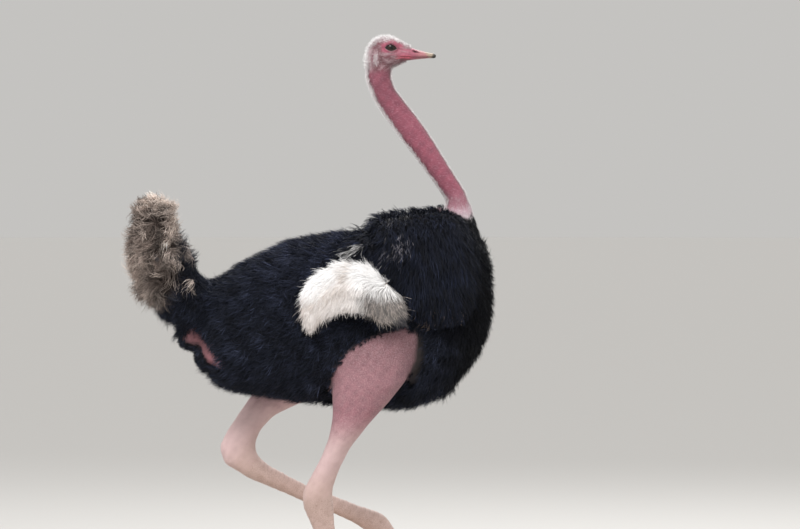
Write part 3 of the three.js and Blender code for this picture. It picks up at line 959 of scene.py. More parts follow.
def skin_finish():
    finish = Finish("skin", Specular_IOR_Level=0.33, Sheen_Weight=0.08, Sheen_Roughness=0.5)
    pebbly = finish.painted("pebbly", "Fac")
    scaly = finish.painted("scaly", "Fac")
    wrinkly = finish.painted("wrinkly", "Fac")
    front = finish.painted("front", "Fac")
    bands = finish.painted("run", "Fac").zigzag()
    grain = finish.noise(420, 4)
    blotch = finish.noise(38, rough=0.5)
    lines = finish.noise(210, stretch=(0.6, 0.6, 1.8))
    pores = finish.cells(430)
    plates = finish.cells(165, "DISTANCE_TO_EDGE")
    seam = ((1 - front) * (1 - (plates * 11).clip()) + front * (1 - (bands * 11).clip())) * scaly
    color = finish.shaded(finish.painted("tint"), 0.80 + grain * 0.18 + blotch * 0.22)
    color = finish.blend((pebbly * (0.50 - pores) * 0.8).clip(), color, (0.60, 0.40, 0.40))
    color = finish.blend((pebbly * (grain - 0.47) * 2.4).clip(), color, (0.58, 0.40, 0.42))
    color = finish.blend((wrinkly * (lines - 0.50) * 1.5).clip(), color, (0.50, 0.27, 0.33))
    color = finish.blend((seam * 0.5).clip(), color, (0.27, 0.18, 0.145))
    finish.feed("Base Color", color)
    finish.feed("Roughness", 0.64 + grain * 0.14 - scaly * 0.12)
    height = grain * 0.3 + pebbly * (1 - pores) * 0.9 + wrinkly * lines * 0.8 - seam * 0.9
    finish.feed("Normal", finish.bump(height, 0.0016, 0.55))
    return finish


# ---- eyes, bill, claws and stand ----

BILL_VOXEL = 1.1 * MM
CLAW_VOXEL = 1.6 * MM


def horn_finish(name, roughness, distance):
    finish = Finish(name, Specular_IOR_Level=0.30)
    streaks = finish.noise(300, stretch=(0.25, 1, 1))
    finish.feed("Base Color", finish.shaded(finish.painted("tint"), 0.78 + streaks * 0.36))
    finish.feed("Roughness", roughness + streaks * 0.15)
    finish.feed("Normal", finish.bump(streaks, distance, 0.4))
    return finish


def bill_piece(node, finish):
    """One half of the bill, with the nostrils, the nail and the horn's colours."""
    mesh = round_form(node + "_horn", [node], BILL_VOXEL, 12)
    points = points_of(mesh)
    head = head_space(points)
    forward, up = head[:, 0] / MM, head[:, 2] / MM
    outward = ramp(np.abs(head[:, 1]), 3 * MM, 9 * MM)
    tall = 1.5 + 2.0 * ramp(forward, 126, 108)
    slit = np.hypot((forward - 116) / 11.5, (up - 82.3 + 0.20 * (forward - 116)) / tall)
    lift = (0.6 * bell(slit - 1.5, 0.4) - 4.0 * ramp(slit, 1.1, 0.65)) * outward
    lift += 0.4 * ramp(forward, 154, 166) - 0.3 * bell(forward - 155, 2.5)
    set_points(mesh, points + normals_of(mesh) * (lift * MM)[:, None])
    mouth = ramp(np.abs(up - 66.2 + 0.012 * (forward - 100)), 1.5, 0.5)
    color = layered(
        LORE_PINK,
        (BILL_MIDDLE, ramp(forward, 105, 135)),
        (BILL_TAN, ramp(forward + 0.8 * (up - 70), 144, 161)),
        (BILL_TIP, ramp(forward - 0.5 * (up - 70), 163, 172)),
        (NOSTRIL, ramp(slit, 1.25, 0.85) * outward),
        # Painted shade along the line where the bill's halves meet.
        (CREASE_SHADE * 1.5, 0.8 * mouth * ramp(forward, 170, 150)),
        (LIP, 0.35 * bell(up - 64, 3) * ramp(forward, 125, 100)))
    paint(mesh, "tint", color * (1 + 0.10 * ripple(points, 0.004, 41))[:, None])
    finished(node + "_horn", mesh, finish, "bill_horn", node)


def eyeball_piece(side):
    """A deep globe with a dark brown iris, its pupil and a swelling over them."""
    bm = bmesh.new()
    bmesh.ops.create_uvsphere(bm, u_segments=72, v_segments=54, radius=EYE_RADIUS)
    mesh = mesh_from("eyeball", bm)
    points = points_of(mesh)
    gaze = unit(np.array((0.10, side, -0.02)))
    away = np.arccos(np.clip(points @ gaze / EYE_RADIUS, -1, 1)) * EYE_RADIUS
    swell = 1 + 0.035 * bell(away, 10 * MM)
    set_points(mesh, world_space(EYE_AT * (1, side, 1) + points * swell[:, None]))
    paint(mesh, "tint", layered(GLOBE, (IRIS, ramp(away, 11.5 * MM, 10.8 * MM)),
                                (PUPIL, ramp(away, 6.4 * MM, 5.8 * MM))))
    name = "eyeball_" + SIDE_NAME[side]
    finish = Finish(name, Roughness=0.06, Specular_IOR_Level=0.35)
    finish.feed("Base Color", finish.painted("tint"))
    finished(name, mesh, finish, "eye", "eye_" + SIDE_NAME[side])


def claw_piece(node, finish):
    mesh = round_form(node + "_horn", [node], CLAW_VOXEL, 10)
    forward = points_of(mesh)[:, 0]
    paint(mesh, "tint", mixed(CLAW_ROOT, CLAW_TIP, (forward - forward.min()) / np.ptp(forward)))
    finished(node + "_horn", mesh, finish, "claw_horn", node)


def stand_finish():
    """Pale wood with long grain."""
    finish = Finish("stand_wood", Specular_IOR_Level=0.4, Coat_Roughness=0.2)
    bands = (finish.noise(9, 4, stretch=(0.35, 3.2, 3.2)) * 6.0).zigzag()
    grain = finish.noise(160, stretch=(0.08, 1, 1))
    color = finish.blend((bands * 1.6).clip(), (0.44, 0.32, 0.215), (0.56, 0.43, 0.30))
    color = finish.blend((grain * 0.8).clip(), color, (0.36, 0.25, 0.165))
    finish.feed("Base Color", color)
    finish.feed("Roughness", 0.42 + grain * 0.2)
    finish.feed("Normal", finish.bump(grain, 0.0004, 0.4))
    return finish


# ---- the feather coat ----

PATCH = 0.003
TRIES_A_CELL = 2.6
CELL_KEY = np.array((73856093, 19349663, 83492791))


def inside_triangles(corner_values, weights):
    """Values at places in triangles, from those at their corners."""
    return (corner_values * weights[:, :, None]).sum(1)


class Unwrap:
    """An unwrap of a form, on which each tuft's root has a place of its own."""

    def __init__(self, nodes, voxel):
        mesh = form_of("unwrap", nodes, voxel)
        holder = placed("unwrap", mesh)
        bpy.context.view_layer.objects.active = holder
        bpy.ops.object.mode_set(mode="EDIT")
        bpy.ops.mesh.select_all(action="SELECT")
        bpy.ops.uv.smart_project(angle_limit=math.radians(60), island_margin=0.004)
        bpy.ops.object.mode_set(mode="OBJECT")
        corners, loops = triangles_of(mesh)
        points = points_of(mesh)
        self.points = points[corners]
        self.places = read(mesh.uv_layers[0].data, "uv", 2)[loops]
        self.tree = BVHTree.FromPolygons([Vector(point) for point in points], corners.tolist())
        bpy.data.objects.remove(holder)

    def at(self, roots):
        hits = [self.tree.find_nearest(Vector(root)) for root in roots]
        found = np.array([hit[0] for hit in hits])
        index = np.array([hit[2] for hit in hits])
        a, b, c = (self.points[index, k] for k in range(3))
        area = np.linalg.norm(np.cross(b - a, c - a), axis=1) + 1e-12
        wb = np.linalg.norm(np.cross(found - a, c - a), axis=1) / area
        wc = np.linalg.norm(np.cross(b - a, found - a), axis=1) / area
        return inside_triangles(self.places[index], np.stack([1 - wb - wc, wb, wc], 1))


class Ground:
    """A surface that tufts grow from, with values kept at its vertices."""

    def __init__(self, mesh, **values):
        self.corners = triangles_of(mesh)[0]
        self.values = dict(values, at=points_of(mesh), out=normals_of(mesh))

    def sown(self, rng, spacing, chance):
        """Roots about `spacing` apart, kept with the chance given at each vertex."""
        corners = self.corners[chance[self.corners].max(1) > 0]
        a, b, c = (self.values["at"][corners[:, k]] for k in range(3))
        area = np.linalg.norm(np.cross(b - a, c - a), axis=1) / 2
        count = int(TRIES_A_CELL * area.sum() / spacing ** 2)
        pick = rng.choice(len(corners), count, p=area / area.sum())
        u, v = rng.random((2, count))
        over = u + v > 1
        u, v = np.where(over, 1 - u, u), np.where(over, 1 - v, v)
        weights = np.stack([1 - u - v, u, v], 1)
        picked = corners[pick]
        at = inside_triangles(self.values["at"][picked], weights)
        cell = np.floor(at / spacing).astype(np.int64)
        first = np.unique(cell @ CELL_KEY, return_index=True)[1]
        likely = (chance[picked[first]] * weights[first]).sum(1)
        first = first[rng.random(len(first)) < likely]
        roots = {}
        for name, value in self.values.items():
            columns = value.reshape(len(value), -1)
            mean = inside_triangles(columns[picked[first]], weights[first])
            roots[name] = mean.reshape((len(first),) + value.shape[1:])
        roots["out"] /= np.linalg.norm(roots["out"], axis=1)[:, None]
        return roots


def chosen(roots, where):
    return {name: value[where] for name, value in roots.items()}


def along_surface(lie, out):
    """Directions, turned flat onto the surface whose outward directions are given."""
    return unit(lie - out * (lie * out).sum(1)[:, None])


def tufts(rng, roots, lie, length, lift, root_color, tip_color, unwrap, blades=5, joints=3,
          width=2.6 * MM, spread=0.35, curl=0.06, turns=0.5, droop=0.1, roll=0.7, uneven=0.25,
          gather=0.0, scatter=None, close=0.0):
    """Tufts of tapering blades. Each lies along the surface and rises off it by `lift`."""
    count = len(roots["at"])
    shape = (count, blades)
    out = roots["out"]
    lie = along_surface(np.asarray(lie), out)
    side = np.cross(out, lie)
    length = np.broadcast_to(length, count)
    lift = np.broadcast_to(lift, count)
    size = (length[:, None] * rng.uniform(0.65, 1.1, shape))[..., None, None]
    rise = (lift[:, None] * rng.uniform(0.6, 1.15, shape))[..., None, None]
    angle = rng.normal(0, spread, shape)[..., None]
    course = lie[:, None] * np.cos(angle) + side[:, None] * np.sin(angle)
    base = rng.normal(0, scatter or 0.35 * width * blades ** 0.5, shape + (2,))
    start = lie[:, None] * base[..., :1] + side[:, None] * base[..., 1:]
    along = np.linspace(0, 1, joints + 1)[:, None]
    bend = rng.uniform(0, 2 * math.pi, shape)
    if gather:
        bend = bend * (1 - gather) + gather * rng.uniform(0, 2 * math.pi, count)[:, None]
    turn = bend[..., None, None] + 2 * math.pi * turns * along
    curled = curl * size * along ** 1.3
    spine = (roots["at"][:, None, None] + start[:, :, None] * (1 - close * along)
             + course[:, :, None] * size * along
             + out[:, None, None] * rise * (1 - (1 - along) ** 2)
             + curled * (np.cos(turn) * side[:, None, None] + np.sin(turn) * out[:, None, None]))
    spine[..., 2] -= (droop * size * along ** 2)[..., 0]
    tangent = unit(np.gradient(spine, axis=2))
    across = unit(np.cross(tangent, out[:, None, None]))
    tilt = rng.normal(0, roll, shape)[..., None, None]
    across = across * np.cos(tilt) + np.cross(tangent, across) * np.sin(tilt)
    half = 0.5 * width * (1 - along) ** 0.7 * (0.6 + along)
    wide = across[:, :, :joints] * half[:joints]
    points = np.concatenate((spine[:, :, :joints] - wide, spine[:, :, :joints] + wide,
                             spine[:, :, joints:]), 2)
    step = np.concatenate((along[:joints], along[:joints], along[joints:]))
    level = np.exp(0.75 * rng.normal(0, uneven, shape) + 0.65 * rng.normal(0, uneven, (count, 1)))
    level = level[..., None, None]
    root_color = np.broadcast_to(root_color, (count, 3))[:, None, None]
    tip_color = np.broadcast_to(tip_color, (count, 3))[:, None, None]
    color = (root_color + (tip_color - root_color) * step) * level
    place = np.empty(points.shape[:3] + (2,))
    edge = np.concatenate((np.zeros(joints), np.ones(joints), np.full(1, 0.5)))
    blade = np.arange(blades)[:, None]
    place[..., 0] = ((blade + edge) / blades - 0.5) * PATCH
    place[..., 1] = (step[:, 0] - 0.5) * PATCH
    place += unwrap.at(roots["at"])[:, None, None]
    rows = []
    for k in range(joints - 1):
        left, right = k, joints + k
        rows += [(left, right, right + 1), (left, right + 1, left + 1)]
    rows.append((joints - 1, 2 * joints - 1, 2 * joints))
    each = 2 * joints + 1
    starts = np.arange(count * blades)[:, None, None] * each
    return {"points": points.reshape(-1, 3), "color": np.clip(color, 0.002, 1).reshape(-1, 3),
            "place": place.reshape(-1, 2), "triangles": (starts + np.array(rows)).reshape(-1, 3)}


def coat_piece(name, parts, finish, slot, *replaced):
    """Joins tufts into one piece, with their places on the OFBake map."""
    starts = np.cumsum([0] + [len(part["points"]) for part in parts])
    triangles = np.concatenate([part["triangles"] + start for part, start in zip(parts, starts)])
    mesh = bpy.data.meshes.new(name)
    mesh.from_pydata(np.concatenate([part["points"] for part in parts]), [], triangles)
    paint(mesh, "tint", np.concatenate([part["color"] for part in parts]))
    corners = read(mesh.loops, "vertex_index", 1, int)[:, 0]
    place = np.concatenate([part["place"] for part in parts])[corners].astype(np.float32)
    mesh.uv_layers.new(name="OFBake").data.foreach_set("uv", place.ravel())
    finished(name, mesh, finish, slot, *replaced)


def feather_finish(name, sheen, sheen_tint, roughness, grain):
    finish = Finish(name, Specular_IOR_Level=0.16, Sheen_Weight=sheen, Sheen_Roughness=0.45,
                    Sheen_Tint=sheen_tint)
    speckle = finish.noise(600)
    color = finish.shaded(finish.painted("tint"), (1 - grain / 2) + speckle * grain)
    finish.feed("Base Color", color)
    finish.feed("Roughness", roughness + speckle * 0.15)
    return finish


# ---- the coat, region by region ----

BLACK = tone(0.003, 0.0032, 0.0048)
BLACK_TIP = tone(0.0152, 0.0184, 0.0320)
# Lighter, bluer tips high on the back and the wings: a painted highlight where light falls from
# above.
BACK_HIGHLIGHT = tone(0.0215, 0.0255, 0.045)
GRAY_CURL = tone(0.185, 0.175, 0.195)
WHITE = tone(0.95, 0.94, 0.94)
# White plumes in shade, painted on the fans' cores and on roots in the fan's painted shadow.
SHADED_WHITE = tone(0.5, 0.44, 0.4)
BEIGE = tone(0.5, 0.4, 0.34)
# Dark brown for the tail plumes' roots, and painted shade on the club's core, hollows and gap.
TAIL_DEEP = tone(0.04, 0.027, 0.023)
TAIL_TIP = tone(0.47, 0.36, 0.31)
TAIL_PALE = tone(0.84, 0.71, 0.63)


def swirled(directions, points, scale, seed, amount):
    """Directions turned a little by smooth noise."""
    noise = np.stack([ripple(points, scale, seed + k) for k in range(3)], 1)
    return np.asarray(directions) + amount * noise


def trunk_lie(points):
    """Back and a little down along the sides, down over the chest."""
    over = ramp(np.abs(points[:, 1]), 0.10, 0.02) * (points[:, 2] > 1.2)
    return layered((-1, 0, -0.42), ((-0.22, 0, -1), ramp(points[:, 0], 0.16, 0.36)),
                   ((-1, 0, -0.05), over))


def wing_lie(points):
    """Down from the shoulder, and more and more backward behind it."""
    back = ramp(points[:, 0], 0.26, -0.02)
    return np.stack([0.02 - 0.95 * back, 0 * back, -1 + 0.25 * back], 1)


def reach(nodes, roots, lie):
    """How far it is from each root to the edge of the solids, in the direction of its lie."""
    tree = tree_of(nodes)
    course = along_surface(lie, roots["out"])
    far = [tree.ray_cast(Vector(a), Vector(d))[3] for a, d in zip(roots["at"], course)]
    return np.array([0.1 if distance is None else distance for distance in far])


def black_coat(rng, ground, unwrap, finish, share):
    """The black body feathers, in four pieces."""
    at = ground.values["at"]
    for side in (RIGHT, LEFT):
        for part, (low, high) in enumerate(((-1, 1.06), (1.06, 3)), 1):
            here = (at[:, 1] * side > 0) & (at[:, 2] > low) & (at[:, 2] <= high)
            roots = ground.sown(rng, 7.9 * MM, share["trunk"] * share["bare"] * here)
            tuft = body_tufts(rng, roots, unwrap)
            coat_piece(f"black_coat_{SIDE_NAME[side]}_{part}", [tuft], finish, "black_feather")


def rear_hairs(rng, ground, unwrap, finish):
    """Long black hairs that stand out past the vent's swelling."""
    at = ground.values["at"]
    near = spot(at, -0.545, 1.034, 0.018) * (np.abs(at[:, 1]) < 0.06)
    roots = ground.sown(rng, 5 * MM, np.where(near > 0.3, near, 0))
    hairs = tufts(rng, roots, (-1, 0, -0.2), 42 * MM, 22 * MM, BLACK, BLACK_TIP, unwrap,
                  blades=4, joints=4, width=1.0 * MM, curl=0.10, droop=0.05)
    coat_piece("rear_hairs", [hairs], finish, "black_feather")


def over_rear(points):
    """Where feathers would lie over the bare strip at the rear."""
    near = bare_rear(points - np.array((0.020, 0, 0.008)))
    far = bare_rear(points - np.array((0.042, 0, 0.016)))
    return np.clip(1.3 * np.maximum(near, far), 0, 1)


def body_tufts(rng, roots, unwrap):
    """The body's feathers, short towards what is bare, lighter higher up as a painted highlight and
    darker towards the chest as painted shade.
    """
    at = roots["at"]
    x, y, z = at.T
    near_neck = round_neck(at, 0.085, 0.36) * ramp(z, 1.26, 1.34)
    away = np.stack([x - NECK_FOOT, y, np.full(len(at), -0.05)], 1)
    lie = swirled(trunk_lie(at), at, 0.05, 50, 0.5)
    lie = mixed(lie, unit(away) + np.array((0, 0, -0.7)), near_neck)
    # Painted highlight: tips lighter higher up.
    tip = mixed(BLACK_TIP, BACK_HIGHLIGHT, ramp(z, 1.08, 1.30))
    tip = tip * np.exp(0.9 * ripple(at, 0.060, 54) + 0.7 * ripple(at, 0.016, 55))[:, None]
    # Painted shade towards the chest.
    tip = mixed(tip, BLACK_TIP * 0.10, ramp(x, 0.22, 0.34))
    near_bare = np.maximum(nearness(at, DRUMSTICKS, 46 * MM), over_rear(at))
    near_thigh = ramp(depth_within(at, THIGH_TOP), -50 * MM, -8 * MM) * (y < 0)
    behind = ramp(x, -0.105, -0.135) * (y < 0)
    near_bare = np.maximum(near_bare, near_thigh) * (1 - 0.9 * behind)
    notch = 1 - 0.5 * spot(at, 0.024, 1.335, 0.040, 0.6)
    deep = np.clip(roots["depth"], 5 * MM, 25 * MM)
    full = (0.45 + 0.55 * ramp(deep, 6 * MM, 20 * MM)) * (1 - 0.60 * near_bare)
    length = 52 * MM * full * (1 - 0.3 * near_neck) * notch
    lift = (deep * 1.02 + 1 * MM) * (1 - 0.5 * np.maximum(near_neck, near_bare)) * notch
    return tufts(rng, roots, lie, length, lift, BLACK, tip, unwrap, blades=8, width=2.0 * MM,
                 spread=0.45, curl=0.20, droop=0.06, roll=0.9, uneven=0.40, gather=0.6)


def wing_coat(rng, ground, unwrap, finish, side, chance):
    """The long black coverts of one folded wing, with gray curls and a few pale tips."""
    wing = "wing_" + SIDE_NAME[side]
    shift = LEFT_WING_SHIFT if side == LEFT else 0
    roots = ground.sown(rng, 8.4 * MM, chance)
    at = roots["at"]
    x, z = at[:, 0], at[:, 2]
    top = ramp(z, 1.30, 1.37)
    lie = mixed(wing_lie(at), (-0.30, side * 0.8, -0.9), 0.85 * top)
    lie = swirled(lie, at, 0.12, 60, 0.16)
    length = np.minimum(96 * MM * (0.6 + 0.4 * ramp(z, 1.40, 1.28)),
                        reach([wing], roots, lie) + (10 - 4 * top) * MM)
    length = length * (1 - 0.72 * nearness(at, ["wing_plumes_" + SIDE_NAME[side]], 62 * MM))
    length = length * (1 - 0.45 * top)
    hind = ramp(x, 0.06, -0.03) * (1 - top)
    lift = np.clip(roots["depth"], 8 * MM, 25 * MM) * 1.05 + (3 + 9 * hind) * MM
    ends = (at + lie * (0.8 * length)[:, None])[:, [0, 2]] - np.array((-0.082 + shift, 1.228))
    on_edge = ramp(np.abs(ends @ np.array((0.70, -0.72))), 0.0065, 0.0035)
    on_edge = on_edge * ramp(np.abs(ends @ np.array((0.72, 0.70))), 0.044, 0.034)
    streaks = ripple(at * np.array((1, 1, 0.20)), 0.024, 61)
    # Painted highlight on the wing's top and painted shade towards its front, over random streaks.
    tip = layered(BLACK_TIP * (0.37, 0.41, 0.50) * np.exp(1.35 * streaks)[:, None],
                  (BACK_HIGHLIGHT, 0.6 * top), (BLACK_TIP * 0.10, ramp(x, 0.28, 0.37)),
                  (WHITE, on_edge))
    part = tufts(rng, roots, lie, length, lift, BLACK, tip, unwrap, blades=6, joints=4,
                 width=2.2 * MM, spread=0.20, curl=0.08, droop=0.05, roll=0.8, uneven=0.42,
                 gather=0.5)
    sloped = z - 1.288 - 0.4 * (x - 0.094)
    near_curls = bell(np.hypot((x - 0.094 - shift) * 0.8, sloped), 0.030)
    curly = chosen(roots, rng.random(len(at)) < 1.1 * near_curls)
    combed = swirled((-0.42, 0, -1), curly["at"], 0.03, 66, 0.15)
    gray = tufts(rng, curly, combed, 46 * MM, curly["depth"] + 8 * MM, BLACK * 3,
                 GRAY_CURL * 1.35, unwrap, blades=3, joints=6, width=1.6 * MM, spread=0.14,
                 curl=0.18, turns=0.4, droop=0.05, uneven=0.3, gather=0.9)
    tipped = chosen(roots, (z < 1.12) & (rng.random(len(at)) < 0.20))
    pale = tufts(rng, tipped, (-0.3, 0, -1), 30 * MM, tipped["depth"] * 1.05 + 4 * MM, BLACK,
                 TAIL_TIP * 0.7, unwrap, blades=3, joints=4, width=1.2 * MM, spread=0.5, curl=0.2)
    coat_piece("wing_coat_" + SIDE_NAME[side], [part, gray, pale], finish, "black_feather", wing)


FAN_LINE = np.array([(0.13, 1.105), (0.06, 1.170), (-0.02, 1.214), (-0.09, 1.216),
                     (-0.15, 1.184), (-0.195, 1.125), (-0.212, 1.06)])


def fan_shadow(points):
    """How far the plumes are brown and in shadow, low down towards the fan's front."""
    height = points[:, 2] + 0.22 * (points[:, 0] - 0.04)
    return ramp(height, 1.176, 1.138) * ramp(points[:, 0], -0.055, 0.01)


def fan_tip(at, along, above):
    """The colour of the plumes' tips: white, with beige streaks of painted shade, a beige fringe,
    painted shadow low at the front and beige painted shade towards the rear tip.
    """
    x, z = at[:, 0], at[:, 2]
    part_way = np.clip((x + 0.200) / 0.155, 0, 1)
    # Painted shade: a beige band across the fan's rear part.
    streak = bell(z - 1.115 - 0.100 * part_way, 0.020)
    streak = streak * ramp(x, -0.030, -0.055) * (0.75 + 0.5 * ripple(at, 0.014, 76))
    shadow = fan_shadow(at)
    clump = ripple(at * np.array((1, 0.3, 0.5)), 0.011, 77)
    dark = np.clip(1.4 * shadow, 0, 1) * (clump > -0.1)
    fringe = ramp(above, -0.018, -0.040) * (1 - np.clip(2 * shadow, 0, 1))
    # Painted shade in the streak and towards the rear tip, painted shadow low at the front, and the
    # beige fringe.
    tip = layered(WHITE, (BEIGE, np.clip(0.85 * streak, 0, 1)), (BEIGE * 0.16, 0.85 * dark),
                  (BEIGE * 0.8, 0.8 * shadow * (dark == 0)), (BEIGE, 0.45 * fringe),
                  (BEIGE, 0.55 * ramp(along, 0.74, 0.94)))
    tip = tip * (1.0 + 0.09 * ripple(at, 0.018, 75))[:, None]
    corner = ramp(x + 0.6 * (1.12 - z), 0.070, 0.095) * ramp(z, 1.14, 1.11)
    return mixed(tip, BLACK_TIP, 0.9 * corner)


def white_coat(rng, finish, side):
    """One wing's white plumes, fanned out over a core."""
    node = "wing_plumes_" + SIDE_NAME[side]
    core_name = "plume_core_" + SIDE_NAME[side]
    core = core_of(core_name, node, 6 * MM, 8, 11 * MM, 4)
    points = points_of(core)
    # The core is painted as plumes in shade, darker still in the fan's painted shadow.
    paint(core, "tint", mixed(SHADED_WHITE * 0.8, BLACK_TIP, fan_shadow(points)))
    unwrap = Unwrap([node], 12 * MM)
    roots = Ground(core).sown(rng, 5.6 * MM, np.ones(len(points)))
    at = roots["at"]
    _, along, above, heading = beside_path(at, FAN_LINE)
    lie = layered(np.stack([heading[:, 0], 0 * along, heading[:, 1]], 1),
                  ((-0.52, 0, -0.86), ramp(above, -0.004, -0.028) * ramp(along, 0.95, 0.6)),
                  ((-0.95, 0, 0.25), ramp(above, 0.012, 0.036) * 0.7),
                  ((-0.35, 0, -1), ramp(along, 0.80, 0.97)))
    lie = mixed(swirled(lie, at, 0.03, 70, 0.22), (0.62, 0, -0.9), ramp(along, 0.30, 0.06))
    tip = fan_tip(at, along, above)
    # Roots darkened by the fan's painted shadow.
    root = mixed(WHITE, SHADED_WHITE * 0.2, np.clip(1.3 * fan_shadow(at), 0, 1))
    edge = reach([node], roots, lie)
    length = np.clip(0.92 * edge - 2 * MM, 14 * MM, 50 * MM)
    part = tufts(rng, roots, lie, length, 10 * MM, root, tip, unwrap, blades=6, joints=4,
                 width=2.3 * MM, spread=0.20, droop=0.05, roll=0.3, uneven=0.07, gather=0.5)
    loose = rng.random(len(at)) < 0.22
    length = np.minimum(56 * MM, edge + 13 * MM)[loose]
    barbs = tufts(rng, chosen(roots, loose), lie[loose], length, 11 * MM, root[loose],
                  tip[loose] * 1.04, unwrap, blades=4, joints=5, width=1.3 * MM, spread=0.4,
                  curl=0.10, droop=0.05, roll=0.8, uneven=0.12, gather=0.7)
    coat_piece("white_coat_" + SIDE_NAME[side], [part, barbs], finish, "white_feather", node)
    finished(core_name, core, finish, "white_feather")


def tail_front(points, out):
    """How far each point is on the club's narrow black front, which fades out upwards."""
    edge = 0.40 + 4.0 * (points[:, 2] - 1.195)
    return ramp(out[:, 0] - edge, -0.1, 0.1) * ramp(points[:, 2], 1.13, 1.17)


def tail_tip(roots, gap, swell):
    """The colour of the plumes' tips: brown in the club's hollows as painted shade and pale round
    them, with a painted highlight along its upper front rim.
    """
    at = roots["at"]
    x, z = at[:, 0], at[:, 2]
    low = ramp(z, 1.24, 1.04)
    pale = np.clip(0.5 + 0.8 * ripple(at, 0.06, 84), 0, 1)
    # Painted shade in the hollows low at the club's front.
    hollow = ramp(x, -0.66, -0.61) * low
    # Painted highlight: the backlit rim along the club's upper front.
    rim = ramp(x + 0.20 * (z - 1.3), -0.625, -0.59) * ramp(z, 1.2, 1.3)
    tip = layered(
        TAIL_TIP * 0.75,
        (TAIL_PALE, pale),
        (TAIL_DEEP * 0.5, 0.85 * ramp(ripple(at, 0.09, 87), -0.2, 0.4) * hollow),
        (TAIL_DEEP * 0.5, gap),
        (TAIL_TIP * 0.35, 0.62 * spot(at, -0.655, 1.345, 0.055, 0.7)),
        (TAIL_PALE * 1.15, rim),
        (BLACK_TIP, tail_front(at, roots["out"])))
    # Painted shade where the plumes sink between swellings, below the club's top.
    return mixed(tip, tip * 0.12, ramp(swell, 0.20, -0.38) * ramp(z, 1.43, 1.37))


def tail_coat(rng, ground_skin, body_map, finish):
    """The club of curly brown plumes, pale at their tips."""
    core = core_of("tail_core", "tail", 12 * MM, 10, 29 * MM, 6)
    points = points_of(core)
    # The core is painted dark as plumes in shade.
    paint(core, "tint", np.tile(TAIL_DEEP * 0.6, (len(points), 1)))
    unwrap = Unwrap(["tail"], 20 * MM)
    ground = Ground(core)
    parts = []
    for spacing, blades, spread in ((14 * MM, 18, 0.22), (13 * MM, 4, 0.6)):
        roots = ground.sown(rng, spacing, np.ones(len(points)))
        at = roots["at"]
        lie = layered((-0.55, 0, -0.25), ((-0.40, 0, 1), ramp(at[:, 2], 1.28, 1.44)),
                      ((-0.30, 0, -1), ramp(at[:, 2], 1.24, 1.04)))
        lie = swirled(lie, at, 0.07, 80, 1.1)
        # Painted shade in a dark gap low at the club's front.
        gap = np.clip(1.3 * spot(at, -0.602, 1.197, 0.045, 0.8), 0, 0.9)
        gap = gap * (rng.random(len(at)) < 0.8)
        length = np.minimum(60 * MM, 0.7 * reach(["tail"], roots, lie) + 18 * MM)
        swell = ripple(at * np.array((0.7, 1, 1.3)), 0.065, 90)
        parts.append(tufts(
            rng, roots, lie, length, (19 + 15 * swell) * MM, TAIL_DEEP,
            tail_tip(roots, gap, swell), unwrap, blades=blades, joints=5, width=1.9 * MM,
            spread=spread, curl=0.32, turns=0.6, droop=0.16, roll=0.9, uneven=0.22, gather=0.9,
            scatter=6 * MM, close=0.8))
    front = tail_front(points, normals_of(core)) * ramp(points[:, 2], 1.265, 1.245)
    roots = ground.sown(rng, 10 * MM, front)
    lie = swirled((-0.22, 0, 1), roots["at"], 0.05, 93, 0.3)
    parts.append(tufts(rng, roots, lie, 50 * MM, 54 * MM, BLACK, BLACK_TIP, unwrap, blades=12,
                       joints=4, width=2.2 * MM, spread=0.25, curl=0.1, droop=0.05, roll=0.9,
                       uneven=0.2, gather=0.6, scatter=5 * MM))
    near = spot(ground_skin.values["at"], -0.568, 1.200, 0.028, 0.8)
    roots = ground_skin.sown(rng, 13 * MM, np.where(near > 0.15, 0.75 * near, 0))
    lie = swirled((-0.7, 0, -0.8), roots["at"], 0.04, 92, 0.3)
    parts.append(tufts(rng, roots, lie, 46 * MM, roots["depth"] + 12 * MM, TAIL_DEEP,
                       TAIL_PALE * 0.65, body_map, blades=9, joints=5, width=1.7 * MM, spread=0.22,
                       curl=0.4, turns=0.6, roll=0.9, uneven=0.3, gather=0.9, scatter=4 * MM,
                       close=0.8))
    coat_piece("tail_coat", parts, finish, "brown_feather", "tail")
    finished("tail_core", core, finish, "brown_feather")


